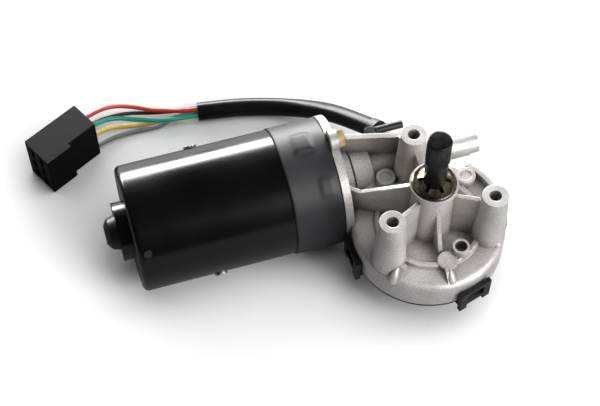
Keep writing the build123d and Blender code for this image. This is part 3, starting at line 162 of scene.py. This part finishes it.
def make_curve(name, route, diameter):
    """Round cord along a route; each point's radius times the bevel's 1 m gives its own."""
    data = bpy.data.curves.new(name, "CURVE")
    data.dimensions = "3D"
    data.resolution_u = 12
    data.bevel_depth = 1.0
    data.bevel_resolution = 6
    data.use_fill_caps = True
    spline = data.splines.new("NURBS")
    spline.points.add(len(route) - 1)
    for point, place in zip(spline.points, route):
        point.co = (*place, 1.0)
        point.radius = diameter / 2
    spline.order_u = 3
    spline.use_endpoint_u = True
    curve = bpy.data.objects.new(name, data)
    bpy.context.scene.collection.objects.link(curve)
    return curve


def line_points(curve):
    """Points read along the middle of a cord's spline."""
    bare = curve.data.copy()
    bare.bevel_depth = 0.0
    probe = bpy.data.objects.new("probe", bare)
    bpy.context.scene.collection.objects.link(probe)
    mesh = bpy.data.meshes.new_from_object(probe)
    places = [vertex.co.copy() for vertex in mesh.vertices]
    bpy.data.objects.remove(probe)
    bpy.data.curves.remove(bare)
    bpy.data.meshes.remove(mesh)
    return places


def run_length(places):
    return sum((b - a).length for a, b in zip(places, places[1:]))


cords = {}
for cord_name, (route, diameter) in {
    "cable_sleeve": (SLEEVE_ROUTE, SLEEVE_DIA),
    **{name: (route, WIRE_DIA) for name, route in WIRE_ROUTES.items()},
}.items():
    piece = make_curve(f"{cord_name}_skin", route, diameter)
    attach(piece, BASE)
    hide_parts(cord_name)
    cords[cord_name] = piece
    print(cord_name, "length", round(run_length(line_points(piece)), 4))

# --------------------------------------------------------- shaft, washer, skins
SHAFT_TOP_Z = 0.044
SHAFT_BOTTOM_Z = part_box("output_shaft")[0][2]
SHAFT_R = 0.00675
SERRATED_R = 0.0071
SERRATION_DEPTH = 0.00055
SERRATIONS = 36
SERRATED_Z = (0.0245, 0.0420)
SERRATION_RAMP = 0.0006
GROOVE_SHAPE = (0.0, 0.55, 1.0, 0.55)
TIP_ROUND = 0.0016
TIP_STEPS = 5
WASHER_R = 0.0127
WASHER_Z = 0.0017
FINGERS = 6
FINGER_ANGLE = math.radians(-110)
FINGER_RISE = 0.0005
FINGER_SLOPE = 0.55
NOTCH_HALF = 0.0011
NOTCH_END_R = 0.0098
FINGER_RADII = (0.0066, 0.0076, 0.0087, NOTCH_END_R)
# radius and height above WASHER_Z
RING_PROFILE = ((0.0094, 0.0007), (0.0104, 0.0003), (0.0116, 0.0001), (0.0124, 0.0003),
                (WASHER_R, 0.0))
WASHER_THICKNESS = 0.0004


def on_circle(radius, turn):
    return radius * math.cos(turn), radius * math.sin(turn)


def turn_of(column, columns):
    return 2 * math.pi * column / columns


def mesh_piece(name, body, verts, faces):
    mesh = bpy.data.meshes.new(name)
    mesh.from_pydata(verts, [], faces)
    mesh.validate()
    mesh.polygons.foreach_set("use_smooth", [True] * len(mesh.polygons))
    piece = bpy.data.objects.new(name, mesh)
    bpy.context.scene.collection.objects.link(piece)
    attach(piece, body)
    return piece


def grid_faces(rows, columns, closed):
    """Quads of a grid of points, its columns closed into a ring or not."""
    faces = []
    for row in range(rows - 1):
        for column in range(columns if closed else columns - 1):
            after = (column + 1) % columns
            faces.append((row * columns + column, row * columns + after,
                          (row + 1) * columns + after, (row + 1) * columns + column))
    return faces


def make_shaft():
    """Output shaft with its serrations cut as V grooves below a rounded tip."""
    tip = []
    for step in range(TIP_STEPS + 1):
        turn = math.pi / 2 * step / TIP_STEPS
        tip.append((SERRATED_R - TIP_ROUND * (1 - math.cos(turn)),
                    SHAFT_TOP_Z - TIP_ROUND * (1 - math.sin(turn)), 0.0))
    stations = [
        (0.0, SHAFT_BOTTOM_Z, 0.0),
        (SHAFT_R, SHAFT_BOTTOM_Z, 0.0),
        (SHAFT_R, SERRATED_Z[0] - SERRATION_RAMP, 0.0),
        (SERRATED_R - 0.0002, SERRATED_Z[0] - 0.0002, 0.0),
        (SERRATED_R, SERRATED_Z[0], 0.4),
        (SERRATED_R, SERRATED_Z[0] + SERRATION_RAMP, 1.0),
        (SERRATED_R, SERRATED_Z[1] - 0.0008, 1.0),
        (SERRATED_R, SERRATED_Z[1], 0.0),
    ] + tip + [(0.0, SHAFT_TOP_Z, 0.0)]
    columns = SERRATIONS * len(GROOVE_SHAPE)
    verts = []
    for radius, height, depth in stations:
        for column in range(columns):
            cut = SERRATION_DEPTH * depth * GROOVE_SHAPE[column % len(GROOVE_SHAPE)]
            verts.append((*on_circle(radius - cut, turn_of(column, columns)), height))
    faces = grid_faces(len(stations), columns, True)
    piece = mesh_piece("output_shaft_skin", "output", verts, faces)
    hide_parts("output_shaft")
    return piece


def make_washer():
    """Push-on retaining washer: a dished ring with six flat fingers that rise to the shaft."""
    verts, faces = [], []
    columns = 96
    for radius, rise in RING_PROFILE:
        for column in range(columns):
            verts.append((*on_circle(radius, turn_of(column, columns)), WASHER_Z + rise))
    faces += grid_faces(len(RING_PROFILE), columns, True)
    across = 9
    for finger in range(FINGERS):
        middle = FINGER_ANGLE + finger * 2 * math.pi / FINGERS
        start = len(verts)
        for radius in FINGER_RADII:
            half = math.pi / FINGERS - math.asin(NOTCH_HALF / radius)
            for column in range(across):
                turn = half * (2 * column / (across - 1) - 1)
                along = radius * math.cos(turn)
                height = WASHER_Z + FINGER_RISE + (NOTCH_END_R - along) * FINGER_SLOPE
                verts.append((*on_circle(radius, middle + turn), height))
        finger_faces = grid_faces(len(FINGER_RADII), across, False)
        faces += [tuple(start + corner for corner in face) for face in finger_faces]
    piece = mesh_piece("star_washer_skin", "output", verts, faces)
    thick = piece.modifiers.new("thickness", "SOLIDIFY")
    thick.thickness = WASHER_THICKNESS
    thick.offset = -1.0
    piece.modifiers.new("soft_edges", "EDGE_SPLIT").split_angle = math.radians(25)
    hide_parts("star_washer")
    return piece


SLEEVE_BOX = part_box("seal_sleeve")
CAN_Y = 0.0505
CAN_Z = -0.049
SLEEVE_R = 0.0398
SLEEVE_WALL = 0.0007
SLEEVE_EDGE = 0.0004
# angle, x of the middle, half angle, half length, rise
SLEEVE_PADS = [
    (82.5, -0.0635, 10.0, 0.0055, 0.0016),
    (128.0, -0.0560, 8.0, 0.0040, 0.0005),
    (262.5, -0.0635, 10.5, 0.0055, 0.0011),
]
PAD_BLEND_TURN = 2.2
PAD_BLEND_LENGTH = 0.0016


def soft_step(value):
    value = min(1.0, max(0.0, value))
    return value * value * (3 - 2 * value)


def pad_lift(x, turn):
    """Height of the sleeve above its plain radius, over the pads below it."""
    lift = 0.0
    for angle, middle, half_turn, half_length, rise in SLEEVE_PADS:
        off_turn = abs((turn - angle + 180) % 360 - 180)
        off_length = abs(x - middle)
        round_it = soft_step((half_turn + PAD_BLEND_TURN - off_turn) / (2 * PAD_BLEND_TURN))
        along_it = soft_step((half_length + PAD_BLEND_LENGTH - off_length) / (2 * PAD_BLEND_LENGTH))
        lift = max(lift, rise * round_it * along_it)
    return lift


def make_sleeve():
    """Thin rubber sleeve round the can's mouth, lifted softly where the can is staked."""
    left, right = SLEEVE_BOX[0][0], SLEEVE_BOX[1][0]
    columns, rows = 220, 34
    verts = []
    for row in range(rows):
        x = left + (right - left) * row / (rows - 1)
        edge = SLEEVE_EDGE if row in (0, rows - 1) else 0.0
        for column in range(columns):
            turn = 360 * column / columns
            y, z = on_circle(SLEEVE_R + pad_lift(x, turn) - edge, math.radians(turn))
            verts.append((x, CAN_Y + y, CAN_Z + z))
    piece = mesh_piece("seal_sleeve_skin", BASE, verts, grid_faces(rows, columns, True))
    wall = piece.modifiers.new("wall", "SOLIDIFY")
    wall.thickness = SLEEVE_WALL
    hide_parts("seal_sleeve")
    return piece


# angle of each fin round the output axis, and its shift outwards
FINS = ((-137.0, 0.0022), (-90.5, 0.0), (-38.0, 0.0010))
FIN_RADII = [0.0345, 0.0352, 0.0365, 0.0385, 0.0405, 0.0425, 0.0440, 0.0450, 0.0455]
FIN_HALF_WIDTHS = [0.0003, 0.0010, 0.0016, 0.0021, 0.0024, 0.0024, 0.0021, 0.0013, 0.0003]
FIN_WIDENING = 1.25
FIN_TOPS = [-0.0412, -0.0386, -0.0368, -0.0362, -0.0370, -0.0385, -0.0404, -0.0425, -0.0445]
FIN_FOOT_Z = -0.0455
FIN_FULLNESS = 0.7


def make_fin(index, angle, shift):
    """Teardrop boss cast over a fin of the pan's shoulder."""
    turn = math.radians(angle)
    out = Vector((math.cos(turn), math.sin(turn), 0.0))
    side = Vector((-out.y, out.x, 0.0))
    across = 13
    verts = []
    for radius, half, top in zip(FIN_RADII, FIN_HALF_WIDTHS, FIN_TOPS):
        for column in range(across):
            bend = math.pi * column / (across - 1)
            place = out * (radius + shift) + side * (half * math.cos(bend) * FIN_WIDENING)
            height = (top - FIN_FOOT_Z) * math.sin(bend) ** FIN_FULLNESS
            verts.append((place.x, place.y, FIN_FOOT_Z + height))
    piece = mesh_piece(f"pan_fin_{index}", BASE, verts, grid_faces(len(FIN_RADII), across, False))
    piece.modifiers.new("rounding", "SUBSURF").levels = 1
    return piece


POST_CIRCLE_R = 0.036
POST_ANGLES = (90.0, 210.0, 330.0)
BORE_R = 0.00358
BORE_PITCH = 0.00125
BORE_RIDGE = 0.00022
BORE_TOP_Z = -0.0004
BORE_DEPTH = 0.021


def make_bore(index, angle):
    """Bright thread inside a mounting post."""
    columns, rows = 40, 140
    x, y = on_circle(POST_CIRCLE_R, math.radians(angle))
    verts = []
    for row in range(rows):
        depth = BORE_DEPTH * row / (rows - 1)
        for column in range(columns):
            turn = turn_of(column, columns)
            phase = 2 * math.pi * depth / BORE_PITCH + turn
            across, along = on_circle(BORE_R - BORE_RIDGE * (0.5 + 0.5 * math.cos(phase)), turn)
            verts.append((x + across, y + along, BORE_TOP_Z - depth))
    return mesh_piece(f"post_thread_{index}", BASE, verts, grid_faces(rows, columns, True))


TUBE_Y, TUBE_Z = 0.0510, -0.0481
# x and radius, from the bore's mouth round the rim and back along the tube
TUBE_PROFILE = ((0.0492, 0.0043), (0.04975, 0.0043), (0.04975, 0.0064), (0.0496, 0.00675),
                (0.04925, 0.0069), (0.0400, 0.00695), (0.0272, 0.0071))


def make_tube_end():
    """Thick open end of the worm tube, round the end-play screw."""
    columns = 48
    verts = []
    for x, radius in TUBE_PROFILE:
        for column in range(columns):
            y, z = on_circle(radius, turn_of(column, columns))
            verts.append((x, TUBE_Y + y, TUBE_Z + z))
    return mesh_piece("worm_tube_end", BASE, verts, grid_faces(len(TUBE_PROFILE), columns, True))


shaft_skin = make_shaft()
washer_skin = make_washer()
tube_end = make_tube_end()
bores = [make_bore(index, angle) for index, angle in enumerate(POST_ANGLES)]
sleeve_skin = make_sleeve()
fins = [make_fin(index, angle, shift) for index, (angle, shift) in enumerate(FINS)]

# ------------------------------------------------------------------- materials


NOISE_MIDDLE = (0.3, 0.7)
BEVEL_SAMPLES = 4
AO_SAMPLES = 8


def new_material(name):
    material = bpy.data.materials.new(name)
    material.use_nodes = True
    tree = material.node_tree
    shader = tree.nodes["Principled BSDF"]
    return material, tree, shader


def object_noise(tree, scale, detail=3.0, roughness=0.55, stretch=None):
    place = tree.nodes.new("ShaderNodeTexCoord")
    source = place.outputs["Object"]
    if stretch:
        mapping = tree.nodes.new("ShaderNodeMapping")
        mapping.inputs["Scale"].default_value = stretch
        tree.links.new(source, mapping.inputs["Vector"])
        source = mapping.outputs["Vector"]
    noise = tree.nodes.new("ShaderNodeTexNoise")
    noise.inputs["Scale"].default_value = scale
    noise.inputs["Detail"].default_value = detail
    noise.inputs["Roughness"].default_value = roughness
    tree.links.new(source, noise.inputs["Vector"])
    return noise.outputs["Fac"]


def ramp(tree, value, stops):
    node = tree.nodes.new("ShaderNodeValToRGB")
    elements = node.color_ramp.elements
    while len(elements) < len(stops):
        elements.new(0.5)
    for element, (position, colour) in zip(elements, stops):
        element.position = position
        element.color = (*colour, 1.0)
    tree.links.new(value, node.inputs["Fac"])
    return node.outputs["Color"]


def spread(tree, value, low, high):
    """Noise mapped on a range, so that its middle spans from low to high."""
    return map_range(tree, value, NOISE_MIDDLE, (low, high))


def map_range(tree, value, source, target):
    node = tree.nodes.new("ShaderNodeMapRange")
    node.inputs["From Min"].default_value = source[0]
    node.inputs["From Max"].default_value = source[1]
    node.inputs["To Min"].default_value = target[0]
    node.inputs["To Max"].default_value = target[1]
    tree.links.new(value, node.inputs["Value"])
    return node.outputs["Result"]


def multiply_colours(tree, first, second):
    node = tree.nodes.new("ShaderNodeMix")
    node.data_type = "RGBA"
    node.blend_type = "MULTIPLY"
    node.inputs["Factor"].default_value = 1.0
    tree.links.new(first, node.inputs["A"])
    tree.links.new(second, node.inputs["B"])
    return node.outputs["Result"]


def multiply(tree, first, second):
    node = tree.nodes.new("ShaderNodeMath")
    node.operation = "MULTIPLY"
    tree.links.new(first, node.inputs[0])
    tree.links.new(second, node.inputs[1])
    return node.outputs[0]


def openness(tree, distance):
    """1 on open faces, falling where other faces crowd within the distance."""
    node = tree.nodes.new("ShaderNodeAmbientOcclusion")
    node.samples = AO_SAMPLES
    node.inputs["Distance"].default_value = distance
    return node.outputs["AO"]


def rounded_normal(tree, radius):
    node = tree.nodes.new("ShaderNodeBevel")
    node.samples = BEVEL_SAMPLES
    node.inputs["Radius"].default_value = radius
    return node.outputs["Normal"]


def add_bump(tree, shader, value, distance, edge):
    bump = tree.nodes.new("ShaderNodeBump")
    bump.inputs["Distance"].default_value = distance
    tree.links.new(value, bump.inputs["Height"])
    if edge:
        tree.links.new(rounded_normal(tree, edge), bump.inputs["Normal"])
    tree.links.new(bump.outputs["Normal"], shader.inputs["Normal"])


def surface(name, dark, light, metallic, rough, grain=900.0, patch=60.0, bump=0.00002, edge=0.0003,
            stretch=None, specular=0.5):
    """A material with patchy colour, uneven gloss and a fine grain."""
    material, tree, shader = new_material(name)
    patches = object_noise(tree, patch, detail=4.0)
    fine = object_noise(tree, grain, detail=2.0, stretch=stretch)
    colour = ramp(tree, patches, [(0.35, dark), (0.65, light)])
    tree.links.new(colour, shader.inputs["Base Color"])
    tree.links.new(spread(tree, patches, rough[0], rough[1]), shader.inputs["Roughness"])
    shader.inputs["Metallic"].default_value = metallic
    shader.inputs["Specular IOR Level"].default_value = specular
    add_bump(tree, shader, fine, bump, edge)
    return material


def scaled(colour, factor):
    return tuple(min(1.0, channel * factor) for channel in colour)



CAST_COLOURS = [
    (0.30, (0.54, 0.505, 0.49)),
    (0.52, (0.65, 0.625, 0.61)),
    (0.72, (0.73, 0.715, 0.705)),
]
CAST_GRAINS = [(0.32, (0.70, 0.70, 0.70)), (0.66, (1.0, 1.0, 1.0))]
# painted shade: the casting colour is darkened in its recesses, found by ambient occlusion
CAST_RECESS_SHADE = [(0.25, (0.30, 0.285, 0.28)), (0.92, (1.0, 1.0, 1.0))]
# edges are painted lighter, partly as wear and partly as a painted highlight
CAST_RUBBED_AND_HIGHLIT = (0.74, 0.735, 0.73, 1.0)
CAST_EDGE = 0.0007
CAST_EDGE_FACING = (0.99, 0.86)
CAST_EDGE_SHARE = 0.25
CAST_SHADE_REACH = 0.012
CAST_METALLIC = 0.40
CAST_ROUGHNESS = (0.36, 0.50)
CAST_BUMP = 0.00016


def casting_material():
    """Die-cast aluminium: a sandy skin, slight stains, edges painted lighter as wear and as painted
    highlight, and recesses darkened by ambient occlusion as painted shade.
    """
    material, tree, shader = new_material("cast_aluminium")
    patches = object_noise(tree, 45.0, detail=5.0)
    sand = object_noise(tree, 1000.0, detail=2.0, roughness=0.6)
    skin = multiply_colours(tree, ramp(tree, patches, CAST_COLOURS), ramp(tree, sand, CAST_GRAINS))
    place = tree.nodes.new("ShaderNodeNewGeometry")
    facing = tree.nodes.new("ShaderNodeVectorMath")
    facing.operation = "DOT_PRODUCT"
    tree.links.new(place.outputs["Normal"], facing.inputs[0])
    tree.links.new(rounded_normal(tree, CAST_EDGE), facing.inputs[1])
    # lighter colour along edges: wear and painted highlight together
    edge_wear_and_highlight = map_range(tree, facing.outputs["Value"], CAST_EDGE_FACING, (0.0, CAST_EDGE_SHARE))
    lightened_edges = tree.nodes.new("ShaderNodeMix")
    lightened_edges.data_type = "RGBA"
    lightened_edges.inputs["B"].default_value = CAST_RUBBED_AND_HIGHLIT
    tree.links.new(edge_wear_and_highlight, lightened_edges.inputs["Factor"])
    tree.links.new(skin, lightened_edges.inputs["A"])
    # painted shade: ambient occlusion darkens the colour where faces crowd
    recess_shade = ramp(tree, openness(tree, CAST_SHADE_REACH), CAST_RECESS_SHADE)
    shaded_skin = multiply_colours(tree, lightened_edges.outputs["Result"], recess_shade)
    tree.links.new(shaded_skin, shader.inputs["Base Color"])
    tree.links.new(spread(tree, patches, *CAST_ROUGHNESS), shader.inputs["Roughness"])
    shader.inputs["Metallic"].default_value = CAST_METALLIC
    add_bump(tree, shader, sand, CAST_BUMP, CAST_EDGE)
    return material


casting = casting_material()
# name, darkest and lightest colour, metallic, roughness range
machined = surface("machined_aluminium", (0.42, 0.42, 0.425), (0.56, 0.56, 0.565), 0.85,
                   (0.22, 0.32), edge=0.0)
enamel = surface("black_enamel", (0.0012, 0.0012, 0.0014), (0.0020, 0.0020, 0.0024), 0.0,
                 (0.17, 0.23), grain=500, patch=30, bump=0.000003, edge=0.0005)
black_steel = surface("blackened_steel", (0.005, 0.0045, 0.0045), (0.010, 0.009, 0.009), 0.3,
                      (0.24, 0.34), patch=180, bump=0.00001, edge=0.0)
zinc = surface("yellow_zinc", (0.55, 0.42, 0.18), (0.72, 0.60, 0.34), 1.0, (0.28, 0.4), patch=220)
bright = surface("bright_steel", (0.50, 0.50, 0.51), (0.66, 0.66, 0.67), 1.0, (0.22, 0.34),
                 patch=150)
washer_metal = surface("spring_bronze", (0.20, 0.16, 0.12), (0.40, 0.34, 0.28), 1.0, (0.20, 0.28),
                       patch=260, edge=0.0)
laminated = surface("lamination_steel", (0.22, 0.22, 0.23), (0.32, 0.32, 0.33), 0.9, (0.4, 0.55),
                    grain=1400, stretch=(1.0, 0.05, 0.05))
rubber = surface("black_rubber", (0.006, 0.006, 0.0065), (0.011, 0.011, 0.012), 0.0, (0.36, 0.48),
                 grain=1200, patch=70, bump=0.00001, specular=0.4)
sleeve_rubber = surface("grey_sleeve_rubber", (0.016, 0.016, 0.018), (0.026, 0.025, 0.028), 0.0,
                        (0.42, 0.52), grain=800, patch=40, bump=0.00001, edge=0.0016, specular=0.4)
nylon = surface("natural_nylon", (0.70, 0.66, 0.56), (0.80, 0.77, 0.68), 0.0, (0.4, 0.5))
brass = surface("contact_brass", (0.60, 0.44, 0.18), (0.76, 0.60, 0.30), 1.0, (0.25, 0.38))
copper = surface("copper", (0.62, 0.27, 0.13), (0.78, 0.40, 0.22), 1.0, (0.3, 0.42), grain=2200)
bronze = surface("sintered_bronze", (0.40, 0.28, 0.14), (0.56, 0.42, 0.24), 1.0, (0.4, 0.52))
phenolic = surface("phenolic", (0.13, 0.07, 0.04), (0.19, 0.11, 0.06), 0.0, (0.4, 0.55))
carbon = surface("carbon", (0.04, 0.04, 0.045), (0.07, 0.07, 0.075), 0.2, (0.5, 0.65))
plated = surface("plated_sheet", (0.42, 0.42, 0.43), (0.55, 0.55, 0.56), 1.0, (0.3, 0.42))
cover_plastic = surface("cover_plastic", (0.004, 0.004, 0.0045), (0.008, 0.008, 0.009), 0.0,
                        (0.30, 0.42), grain=1200, patch=90, bump=0.00001, edge=0.0005, specular=0.35)
plug_plastic = surface("black_nylon", (0.0020, 0.0020, 0.0026), (0.0034, 0.0032, 0.0045), 0.0,
                       (0.50, 0.62), grain=1500, patch=60, bump=0.00001, edge=0.0004, specular=0.15)
sheath = surface("black_pvc", (0.0040, 0.0040, 0.0044), (0.0065, 0.0065, 0.0070), 0.0, (0.26, 0.36),
                 grain=700, patch=30, bump=0.000004, edge=0.0, specular=0.22)


def wire_material(name, colour):
    return surface(name, scaled(colour, 0.85), scaled(colour, 1.1), 0.0, (0.32, 0.44),
                   patch=120, bump=0.00001, edge=0.0)


WIRE_COLOURS = {
    "wire_red": (0.58, 0.045, 0.022),
    "wire_brown": (0.030, 0.014, 0.012),
    "wire_green": (0.010, 0.36, 0.24),
    "wire_yellow": (0.78, 0.56, 0.10),
    "wire_grey": (0.20, 0.20, 0.205),
}

FINISHES = {
    "gear_housing": casting,
    "output_shaft": black_steel,
    "worm_wheel": nylon,
    "park_disc": brass,
    "thrust_washer": bright,
    "star_washer": washer_metal,
    "shaft_seal": rubber,
    "output_bush_upper": bronze,
    "output_bush_lower": bronze,
    "yoke": enamel,
    "seal_sleeve": sleeve_rubber,
    "yoke_end_cap": rubber,
    "drain_nipple": rubber,
    "tie_screws": zinc,
    "field_poles": laminated,
    "field_coils": copper,
    "pole_screws": bright,
    "armature_shaft": bright,
    "armature_core": laminated,
    "armature_windings": copper,
    "commutator": copper,
    "front_bush": bronze,
    "tip_bush": bronze,
    "end_bush": bronze,
    "bush_retainer": plated,
    "thrust_pad": bright,
    "thrust_screw": bright,
    "brush_plate": phenolic,
    "brush_holders": brass,
    "brush_positive": carbon,
    "brush_negative": carbon,
    "brush_springs": bright,
    "cover_gasket": rubber,
    "gear_cover": cover_plastic,
    "park_contacts": brass,
    "cable_grommet": rubber,
    "vent_tube": rubber,
    "connector_housing": plug_plastic,
    "connector_terminals": brass,
    "cable_sleeve": sheath,
    **{name: wire_material(name, colour) for name, colour in WIRE_COLOURS.items()},
}


def dress(obj, material):
    obj.data.materials.clear()
    obj.data.materials.append(material)


for node_name, material in FINISHES.items():
    dress(nodes[node_name], material)
skins = {
    "output_shaft": shaft_skin,
    "star_washer": washer_skin,
    "seal_sleeve": sleeve_skin,
    **cords,
}
for node_name, piece in skins.items():
    dress(piece, FINISHES[node_name])
for piece in (*fins, tube_end, *bores):
    dress(piece, machined if piece in bores else casting)

# ------------------------------------------------------------- floor and light
FLOOR_HALF = 3.0
FLOOR_COLOUR = (0.80, 0.80, 0.81, 1.0)
# painted shade: the floor is darker where the part mirrors it, standing in for its shade next to the
# can
FLOOR_MIRRORED = (0.28, 0.28, 0.29, 1.0)
# painted shadow: the floor's glow is weaker near the part and is cut further by ambient occlusion
FLOOR_GLOW = (0.44, 1.0)
FLOOR_GLOW_REACH = (0.15, 0.70)
SHADE_REACH = 0.16
SHADE_RANGE = (0.55, 1.0)
WORLD_LIGHT = 0.06
WORLD_MIRRORED = 0.05


def make_floor():
    """White floor that glows for the camera, with the glow taken out near the part as a painted
    shadow, and painted darker where it is seen in reflections.
    """
    mesh = bpy.data.meshes.new("floor")
    corners = [(-FLOOR_HALF, -FLOOR_HALF, FLOOR_Z), (FLOOR_HALF, -FLOOR_HALF, FLOOR_Z),
               (FLOOR_HALF, FLOOR_HALF, FLOOR_Z), (-FLOOR_HALF, FLOOR_HALF, FLOOR_Z)]
    mesh.from_pydata(corners, [], [(0, 1, 2, 3)])
    floor = bpy.data.objects.new("floor", mesh)
    bpy.context.scene.collection.objects.link(floor)
    material, tree, shader = new_material("pale_floor")
    shader.inputs["Roughness"].default_value = 0.6
    shader.inputs["Specular IOR Level"].default_value = 0.2
    rays = tree.nodes.new("ShaderNodeLightPath")
    mirror_shaded_tint = tree.nodes.new("ShaderNodeMix")
    mirror_shaded_tint.data_type = "RGBA"
    mirror_shaded_tint.inputs["A"].default_value = FLOOR_COLOUR
    mirror_shaded_tint.inputs["B"].default_value = FLOOR_MIRRORED
    # painted shade in reflections: glossy rays see the darker floor colour
    tree.links.new(rays.outputs["Is Glossy Ray"], mirror_shaded_tint.inputs["Factor"])
    tree.links.new(mirror_shaded_tint.outputs["Result"], shader.inputs["Base Color"])
    place = tree.nodes.new("ShaderNodeNewGeometry")
    away = tree.nodes.new("ShaderNodeVectorMath")
    away.operation = "LENGTH"
    tree.links.new(place.outputs["Position"], away.inputs[0])
    # painted shadow: the glow fades towards the part, and ambient occlusion takes it out next to the
    # part
    glow_painted_dim_near_part = map_range(tree, away.outputs["Value"], FLOOR_GLOW_REACH, FLOOR_GLOW)
    shade = map_range(tree, openness(tree, SHADE_REACH), SHADE_RANGE, (0.0, 1.0))
    seen = multiply(tree, shade, rays.outputs["Is Camera Ray"])
    lift = tree.nodes.new("ShaderNodeEmission")
    tree.links.new(multiply(tree, seen, glow_painted_dim_near_part), lift.inputs["Strength"])
    both = tree.nodes.new("ShaderNodeAddShader")
    tree.links.new(shader.outputs["BSDF"], both.inputs[0])
    tree.links.new(lift.outputs["Emission"], both.inputs[1])
    output = tree.nodes["Material Output"]
    tree.links.new(both.outputs["Shader"], output.inputs["Surface"])
    dress(floor, material)


def make_world():
    """White behind the part for the camera, dim for the light that falls on it."""
    world = bpy.data.worlds.new("studio")
    world.use_nodes = True
    bpy.context.scene.world = world
    tree = world.node_tree
    background = tree.nodes["Background"]
    rays = tree.nodes.new("ShaderNodeLightPath")
    room = map_range(tree, rays.outputs["Is Glossy Ray"], (0.0, 1.0), (WORLD_LIGHT, WORLD_MIRRORED))
    level = tree.nodes.new("ShaderNodeMix")
    tree.links.new(rays.outputs["Is Camera Ray"], level.inputs["Factor"])
    tree.links.new(room, level.inputs["A"])
    level.inputs["B"].default_value = 1.0
    tree.links.new(level.outputs["Result"], background.inputs["Strength"])
    background.inputs["Color"].default_value = (1.0, 1.0, 1.0, 1.0)


BACK_TARGET = (-0.10, 0.05, -0.02)
CASE_TARGET = (-0.02, 0.0, -0.04)
FRONT_PLACE = (0.75, -0.95, 0.70)


def softbox(name, place, target, width, height, watts, mirrored=True, diffuse=True):
    """Area lamp that the camera doesn't see, for mirrored light, diffuse light or both."""
    data = bpy.data.lights.new(name, "AREA")
    data.shape = "RECTANGLE"
    data.size = width
    data.size_y = height
    data.energy = watts
    lamp = bpy.data.objects.new(name, data)
    aim = (Vector(target) - Vector(place)).to_track_quat("-Z", "Y")
    lamp.matrix_world = Matrix.Translation(place) @ aim.to_matrix().to_4x4()
    lamp.visible_glossy = mirrored
    lamp.visible_diffuse = diffuse
    lamp.visible_camera = False
    bpy.context.scene.collection.objects.link(lamp)


make_floor()
make_world()
softbox("softbox_streak", (0.06, 1.20, 0.30), BACK_TARGET, 2.0, 0.40, 76, diffuse=False)
softbox("softbox_back", (0.06, 1.20, 0.60), BACK_TARGET, 1.2, 0.60, 5, mirrored=False)
softbox("softbox_over", (0.30, -0.20, 1.15), CASE_TARGET, 1.0, 1.0, 10, mirrored=False)
softbox("softbox_front", FRONT_PLACE, CASE_TARGET, 0.7, 0.7, 18, mirrored=False)
softbox("softbox_front_shine", FRONT_PLACE, CASE_TARGET, 0.7, 0.7, 34, diffuse=False)

bpy.context.scene.view_settings.view_transform = "Standard"

bpy.context.view_layer.update()
